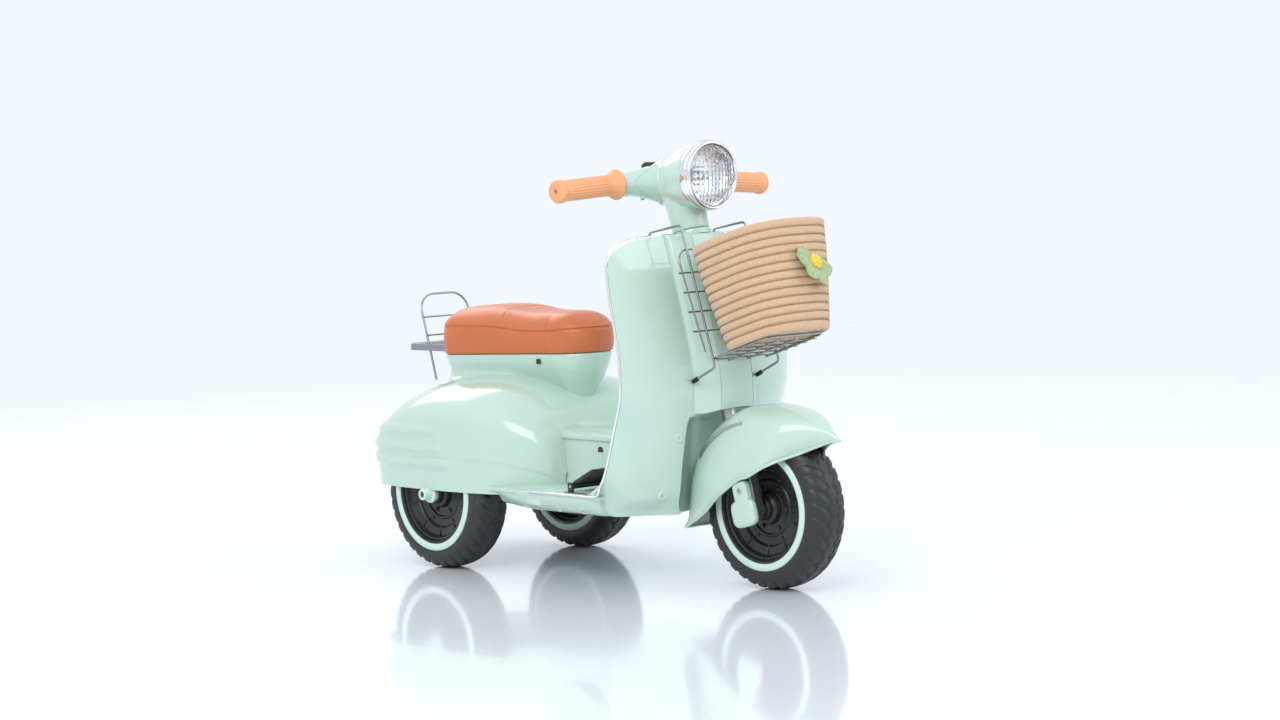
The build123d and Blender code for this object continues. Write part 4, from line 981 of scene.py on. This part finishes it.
bezel = ((39.2, -15.6), (45.8, -15.6), (46.4, -14.6), (46.5, -9), (46.3, -6.5), (45.2, -5.6), (45.0, -4.8),
         (45.3, -3.8), (45.0, -1.6), (44.2, 0.2),
         (43.0, 1.0), (41.8, 0.9), (40.9, 0.0), (40.3, -1.5), (39.8, -4))
piece("headlight_rim", *lathe(bezel, lamp_place, 128), "steering", CHROME, "chrome", ["headlight_bezel"],
      sharp=45)


def lens_sheet(thickness, pattern):
    rows = []
    for i in range(121):
        y = lerp(-39.8, 39.8, i / 120)
        row = []
        for j in range(121):
            z = lerp(-39.8, 39.8, j / 120)
            q = math.hypot(y, z)
            scale = max(abs(y), abs(z)) / q if q > 0.01 else 1.0
            py, pz = y * scale, z * scale
            radius = math.hypot(py, pz)
            a = 6 - radius * radius / (2 * 116) - thickness
            if pattern and radius < 37:
                fade = smooth((37 - radius) / 3)
                a -= fade * 0.9 * (abs(math.sin(math.pi * py / 6.2)) + abs(math.sin(math.pi * pz / 6.2)))
            row.append(at(LAMP[0] + a, py, LAMP[1] + pz))
        rows.append(row)
    return rows


front, back = lens_sheet(0, False), lens_sheet(2.2, True)
fv, ff = grid(front)
bv, bf = grid(back)
verts, faces = joined((fv, ff), (bv, bf))
m = 121
loop = ([i * m for i in range(m)] + [(m - 1) * m + j for j in range(1, m)]
        + [i * m + m - 1 for i in range(m - 2, -1, -1)] + [j for j in range(m - 2, 0, -1)])
for a, b in zip(loop, loop[1:] + loop[:1]):
    faces.append((a, b, len(fv) + b, len(fv) + a))
piece("headlight_glass", verts, faces, "steering", GLASS, "lens", ["headlight_lens"], sharp=25)


def dish_facets(r, a, turn):
    return r, a + (0.5 * abs(math.sin(10 * turn)) * smooth((r - 7) / 8) * smooth((39 - r) / 4)
                   if r < 39 else 0)


dish = [(7.4, -26.0), (12, -25.4), (18, -23.6), (24, -21.0), (30, -17.4), (35, -12.6), (39.7, -5.0),
        (39.7, -6.6), (35, -14.2), (30, -19), (20, -24.6), (7.4, -27.8)]
piece("headlight_dish", *lathe(dish, lamp_place, 160, wobble=dish_facets), "steering", MIRROR, "mirror",
      ["headlight_reflector"], sharp=30)
led = [(0.3, -17.6), (3.4, -18.0), (5.6, -19.6), (6.6, -22), (6.8, -24.5), (6.8, -28)]
piece("headlight_led_dome", *lathe(led, lamp_place, 48, closed=False), "steering", PALE, "white_plastic",
      ["headlight_led"], sharp=40)

# ---------------------------------------------------------------- basket
TILT = math.radians(17)
EX, EY, EZ = Vector((math.cos(TILT), 0, math.sin(TILT))), Vector((0, 1, 0)), Vector((-math.sin(TILT), 0,
                                                                                     math.cos(TILT)))
TRAY_CORNER = Vector((-46, 0, 299))
BASKET_FOOT = TRAY_CORNER + EX * 66 + EZ * 1.9
BASKET_H, ROWS = 138.0, 13


def basket_ring(height, turn, inset=0.0):
    """A point of the tub's outer surface, drawn in by inset, in basket coordinates."""
    t = height / BASKET_H
    bow = 1.6 * math.sin(math.pi * min(1, max(0, t)))
    depth, width = lerp(55, 74, t) + bow - inset, lerp(64, 82, t) + bow - inset
    c, s = math.cos(turn), math.sin(turn)
    return Vector((8 * t + depth * math.copysign(abs(c) ** (2 / 3), c),
                   width * math.copysign(abs(s) ** (2 / 3), s), height))


def basket_point(p):
    return at(*(BASKET_FOOT + EX * p.x + EY * p.y + EZ * p.z))


def even_turns(height, count):
    """Angles that divide a ring into equal steps."""
    fine = [basket_ring(height, math.tau * k / 720) for k in range(721)]
    length = [0.0]
    for a, b in zip(fine, fine[1:]):
        length.append(length[-1] + (b - a).length)
    out, k = [], 0
    for i in range(count):
        want = length[-1] * i / count
        while length[k + 1] < want:
            k += 1
        out.append(math.tau * (k + (want - length[k]) / (length[k + 1] - length[k])) / 720)
    return out, length[-1]


def rope_loop(centre_line, half_wide, half_tall, total, phase=0.0, sides=14):
    """A closed braided rope along (point, outward, upward) triples."""
    count = len(centre_line)
    strands = round(total / 7.0)
    rings = []
    for i, (p, out, up) in enumerate(centre_line):
        ring = []
        for k in range(sides):
            a = math.tau * k / sides
            weave = (math.sin(a + math.tau * strands * i / count + phase)
                     * math.sin(a - math.tau * strands * i / count))
            grow = 1 + 0.085 * weave
            ring.append(basket_point(p + out * (half_wide * math.cos(a) * grow)
                                     + up * (half_tall * math.sin(a) * grow)))
        rings.append(ring)
    return grid(rings, wrap_row=True, wrap_col=True)


pitch = BASKET_H / ROWS
ropes, seams = [], []
for n in range(ROWS):
    height = pitch * (n + 0.5)
    turns, total = even_turns(height, 430)
    line = []
    for t in turns:
        p = basket_ring(height, t, 3.7)
        sag = (1.1 * math.sin(t * 2 + 0.6) * (n / ROWS)
               + 0.5 * noise.noise(Vector((math.cos(t) * 2, math.sin(t) * 2, n * 0.37))))
        out = (basket_ring(height, t) - basket_ring(height, t, 10)).normalized()
        slope = (basket_ring(height + 4, t) - basket_ring(height - 4, t)).normalized()
        line.append((p + EY * 0 + Vector((0, 0, sag)), out, slope))
    ropes.append(rope_loop(line, 3.5, pitch * 0.525, total, n * 1.7))
    # A thin dark thread sits in the groove between each pair of coils: partly the stitching, partly painted
    # shade in the crease.
    if n:
        seam = []
        for t in turns[::3]:
            p = basket_ring(height - pitch / 2, t, 1.5)
            sag = (1.1 * math.sin(t * 2 + 0.6) * ((n - 0.5) / ROWS)
                   + 0.5 * noise.noise(Vector((math.cos(t) * 2, math.sin(t) * 2, (n - 0.5) * 0.37))))
            seam.append(basket_point(p + Vector((0, 0, sag))))
        seams.append(tube(seam, 0.0008, 6, closed=True))
for k, scale in enumerate((0.9, 0.76, 0.62, 0.48, 0.34, 0.2)):
    turns, total = even_turns(4, 300)
    line = []
    for t in turns:
        p = basket_ring(4, t)
        line.append((Vector((p.x * scale, p.y * scale, 3.6)), Vector((p.x, p.y, 0)).normalized(),
                     Vector((0, 0, 1))))
    ropes.append(rope_loop(line, 5.2, 3.4, total * scale, k))
piece("rope_basket_coils", *joined(*ropes), "basket", ROPE, "rope", ["rope_basket"], sharp=80)
# The dark stitching doubles as painted shade in the creases between the coils.
piece("rope_basket_stitching_and_seam_shade", *joined(*seams), "basket", STITCH_AND_SEAM_SHADE, "rope", sharp=60)

# ---------------------------------------------------------------- flower
flower_turn = math.radians(14)
out_dir = EX * math.cos(flower_turn) + EY * math.sin(flower_turn)
across = EY * math.cos(flower_turn) - EX * math.sin(flower_turn)
face_dir = out_dir * math.sin(math.radians(79)) + EZ * math.cos(math.radians(79))
down = out_dir * math.cos(math.radians(79)) - EZ * math.sin(math.radians(79))
flower_at = BASKET_FOOT + EZ * 80 + out_dir * 74.2


def flower_point(x, y, z):
    return at(*(flower_at + down * x + across * y + face_dir * z))


def petal(turn, twist, size):
    """A stuffed felt petal with a crease down its middle."""
    rows = []
    for i in range(25):
        t = i / 24
        width = 12.8 * size * math.sin(math.pi * min(0.985, 0.07 + 0.92 * t) ** 0.9) ** 0.5
        along = 5 + 30 * size * t
        top, low = [], []
        for j in range(17):
            v = -1 + 2 * j / 16
            puff = 3.1 * (1 - abs(v) ** 2.4) ** 0.5 * math.sin(math.pi * min(0.98, 0.1 + 0.88 * t)) ** 0.4
            crease = 1.2 * math.exp(-(v / 0.13) ** 2)
            lift = 2.2 * t * t + twist * v * t * 1.4
            ridges = 0.25 * math.cos(t * 52 + abs(v) * 5)
            top.append((along, v * width, lift + puff - crease + ridges * (1 - v * v)))
            low.append((along, v * width, lift - puff * 0.6))
        rows.append(top + low[::-1])
    c, s = math.cos(turn), math.sin(turn)
    ring = [[flower_point(a * c - b * s, a * s + b * c, h + 1.2) for a, b, h in row] for row in rows]
    return loft(ring)


petals = [petal(math.tau * i / 6 + 0.2, 0.8 if i % 2 else -0.7, 1.0 + 0.05 * math.sin(i * 2.1))
          for i in range(6)]
piece("flower_petals", *joined(*petals), "basket", FELT, "felt", ["felt_flower"], sharp=70)
knots = []
random.seed(7)
for ring_r, count, lift in ((0.0, 1, 9.2), (4.2, 6, 8.2), (7.8, 11, 5.6)):
    for i in range(count):
        a = math.tau * i / count + ring_r
        rows = []
        size = 2.5 + 0.3 * random.random()
        for j in range(1, 8):
            b = math.pi * j / 8
            rows.append([flower_point(ring_r * math.cos(a) + size * math.sin(b) * math.cos(q),
                                      ring_r * math.sin(a) + size * math.sin(b) * math.sin(q),
                                      lift + size * 0.9 * math.cos(b))
                                      for q in (math.tau * k / 12 for k in range(12))])
        knots.append(loft(rows))
core = [[flower_point(r * math.cos(q), r * math.sin(q), h) for q in (math.tau * k / 24 for k in range(24))]
        for r, h in ((9.4, 1), (9.6, 4), (8.4, 6.5), (5.6, 8.4), (2, 9.2))]
piece("flower_centre", *joined(loft(core), *knots), "basket", YARN, "felt", sharp=60)

# ---------------------------------------------------------------- pedal
pedal_tilt = math.radians(26)
PX, PZ = Vector((math.cos(pedal_tilt), 0, math.sin(pedal_tilt))), Vector((-math.sin(pedal_tilt), 0,
                                                                          math.cos(pedal_tilt)))


def pedal_point(a, y, h):
    p = Vector((-238, -112, 131)) + PX * a + PZ * h
    return at(p.x, p.y + y, p.z)


plate = [[pedal_point(a, y, h) for a,
          h in ((1, 0.4), (1.2, 3.6), (3.5, 5.0), (43.5, 5.0), (45.4, 4.3), (46, 3.0), (45.6, 1.5),
                (44, 1.0))] for y in (-24, -23.4, 23.4, 24)]
for row in (plate[0], plate[3]):
    row[:] = [p.lerp(sum(row, Vector()) / len(row), 0.06) for p in row]
parts = [loft(plate)]
for k in range(8):
    a = 6 + 5 * k
    parts.append(tube([pedal_point(a, y, 5.0) for y in (-21, -10, 0, 10, 21)], 0.0012, 10))
lathe_rows = [[pedal_point(3.9 * math.cos(q), y, 3.9 * math.sin(q))
               for q in (math.tau * k / 32 for k in range(32))] for y in (-23.8, -23.2, 23.2, 23.8)]
parts.append(loft(lathe_rows))
piece("pedal_pad", *joined(*parts), "pedal", BLACK, "black_plastic", ["accelerator_pedal"], sharp=38)

# ---------------------------------------------------------------- edge trim
trim_line = []
for i in range(20):
    y = lerp(66, 147.5, smooth(i / 19) * 0.4 + 0.6 * i / 19)
    z = shield_top(y)
    trim_line.append((lerp(shield_front_x(y, z), shield_back_x(y, z), 0.5), y, z + 0.6))
for i in range(40):
    z = lerp(424, 134, i / 39)
    trim_line.append((curve(EDGE_X, z) - 2.6, 151.0 if z < 415 else 150.4, z))
trim_line += [(-170.5, 151, 128), (-174, 151, 123.4), (-179, 151, 121.4), (-190, 151, 121), (-311, 151, 121)]
trims = []
for side in (-1, 1):
    smooth_line = rounded([at(x, side * y, z) for x, y, z in trim_line], 0.006, 3)
    trims.append(tube(smooth_line, 0.00175, 12))
piece("edge_trim_bright", *joined(*trims), "frame", CHROME, "chrome", ["edge_trim"], sharp=60)

# ---------------------------------------------------------------- finishes on the CAD nodes
dress(["basket_uprights", "basket_back_grid", "basket_tray_rim", "basket_tray_wires", "backrest"], WIRE)
dress(["basket_leg_caps"], RUBBER)
dress(["rear_rack", "rear_axle_carrier", "bar_clamp", "battery_shelf"], RACK)
dress(["fork_legs", "fork_crown", "steering_stem", "front_axle", "head_tube", "rear_axle", "handlebar_tube",
       "pedal_pin", "drive_motor"], STEEL)
dress(["steering_bushes", "gearbox"], PALE)
dress(["pedal_bracket", "battery", "power_rocker"], BLACK)
dress(["horn_button"], CHROME)
dress(["control_board"], BOARD)

# ---------------------------------------------------------------- studio
floor_mat = material("studio_floor", (0.86, 0.89, 0.93), 0.12, coat=0.3, vary=0.01)
bpy.ops.mesh.primitive_plane_add(size=14, location=(0, 0, 0))
studio = bpy.context.object
studio.name = "studio_floor"
studio.data.materials.append(floor_mat)

world = bpy.data.worlds.new("studio_world")
world.use_nodes = True
world.node_tree.nodes["Background"].inputs["Color"].default_value = (0.90, 0.945, 1.0, 1)
world.node_tree.nodes["Background"].inputs["Strength"].default_value = 1.0
bpy.context.scene.world = world


def area_light(name, spot, aim, size, power, color=(1, 1, 1)):
    data = bpy.data.lights.new(name, "AREA")
    data.shape = "RECTANGLE"
    data.size, data.size_y = size
    data.energy = power
    data.color = color
    lamp = bpy.data.objects.new(name, data)
    lamp.location = Vector(spot)
    lamp.rotation_euler = (Vector(aim) - Vector(spot)).to_track_quat("-Z", "Y").to_euler()
    bpy.context.scene.collection.objects.link(lamp)


area_light("key", (1.6, -2.6, 2.6), (0, 0, 0.25), (2.4, 2.0), 60, (1.0, 0.98, 0.95))
area_light("fill", (2.6, 1.6, 1.7), (0, 0, 0.25), (2.0, 2.0), 22, (0.93, 0.97, 1.0))
area_light("rim", (-2.4, 0.6, 2.2), (0, 0, 0.3), (2.0, 1.4), 25)

bpy.context.scene.view_settings.view_transform = "Standard"
az, el, roll = math.radians(47.5), math.radians(4.1), math.radians(-1.98)
back = Vector((math.sin(az) * math.cos(el), -math.cos(az) * math.cos(el), math.sin(el)))
right = Vector((math.cos(az), math.sin(az), 0))
up = back.cross(right)
right2 = right * math.cos(roll) + up * math.sin(roll)
up2 = up * math.cos(roll) - right * math.sin(roll)
camera_data = bpy.data.cameras.new("camera")
camera_data.sensor_width = 36
camera_data.lens = 78.39
camera = bpy.data.objects.new("camera", camera_data)
camera.matrix_world = Matrix.Translation(at(2506.6, -2523.5,
                                            554.5)) @ Matrix((right2, up2, back)).transposed().to_4x4()
bpy.context.scene.collection.objects.link(camera)
bpy.context.scene.camera = camera
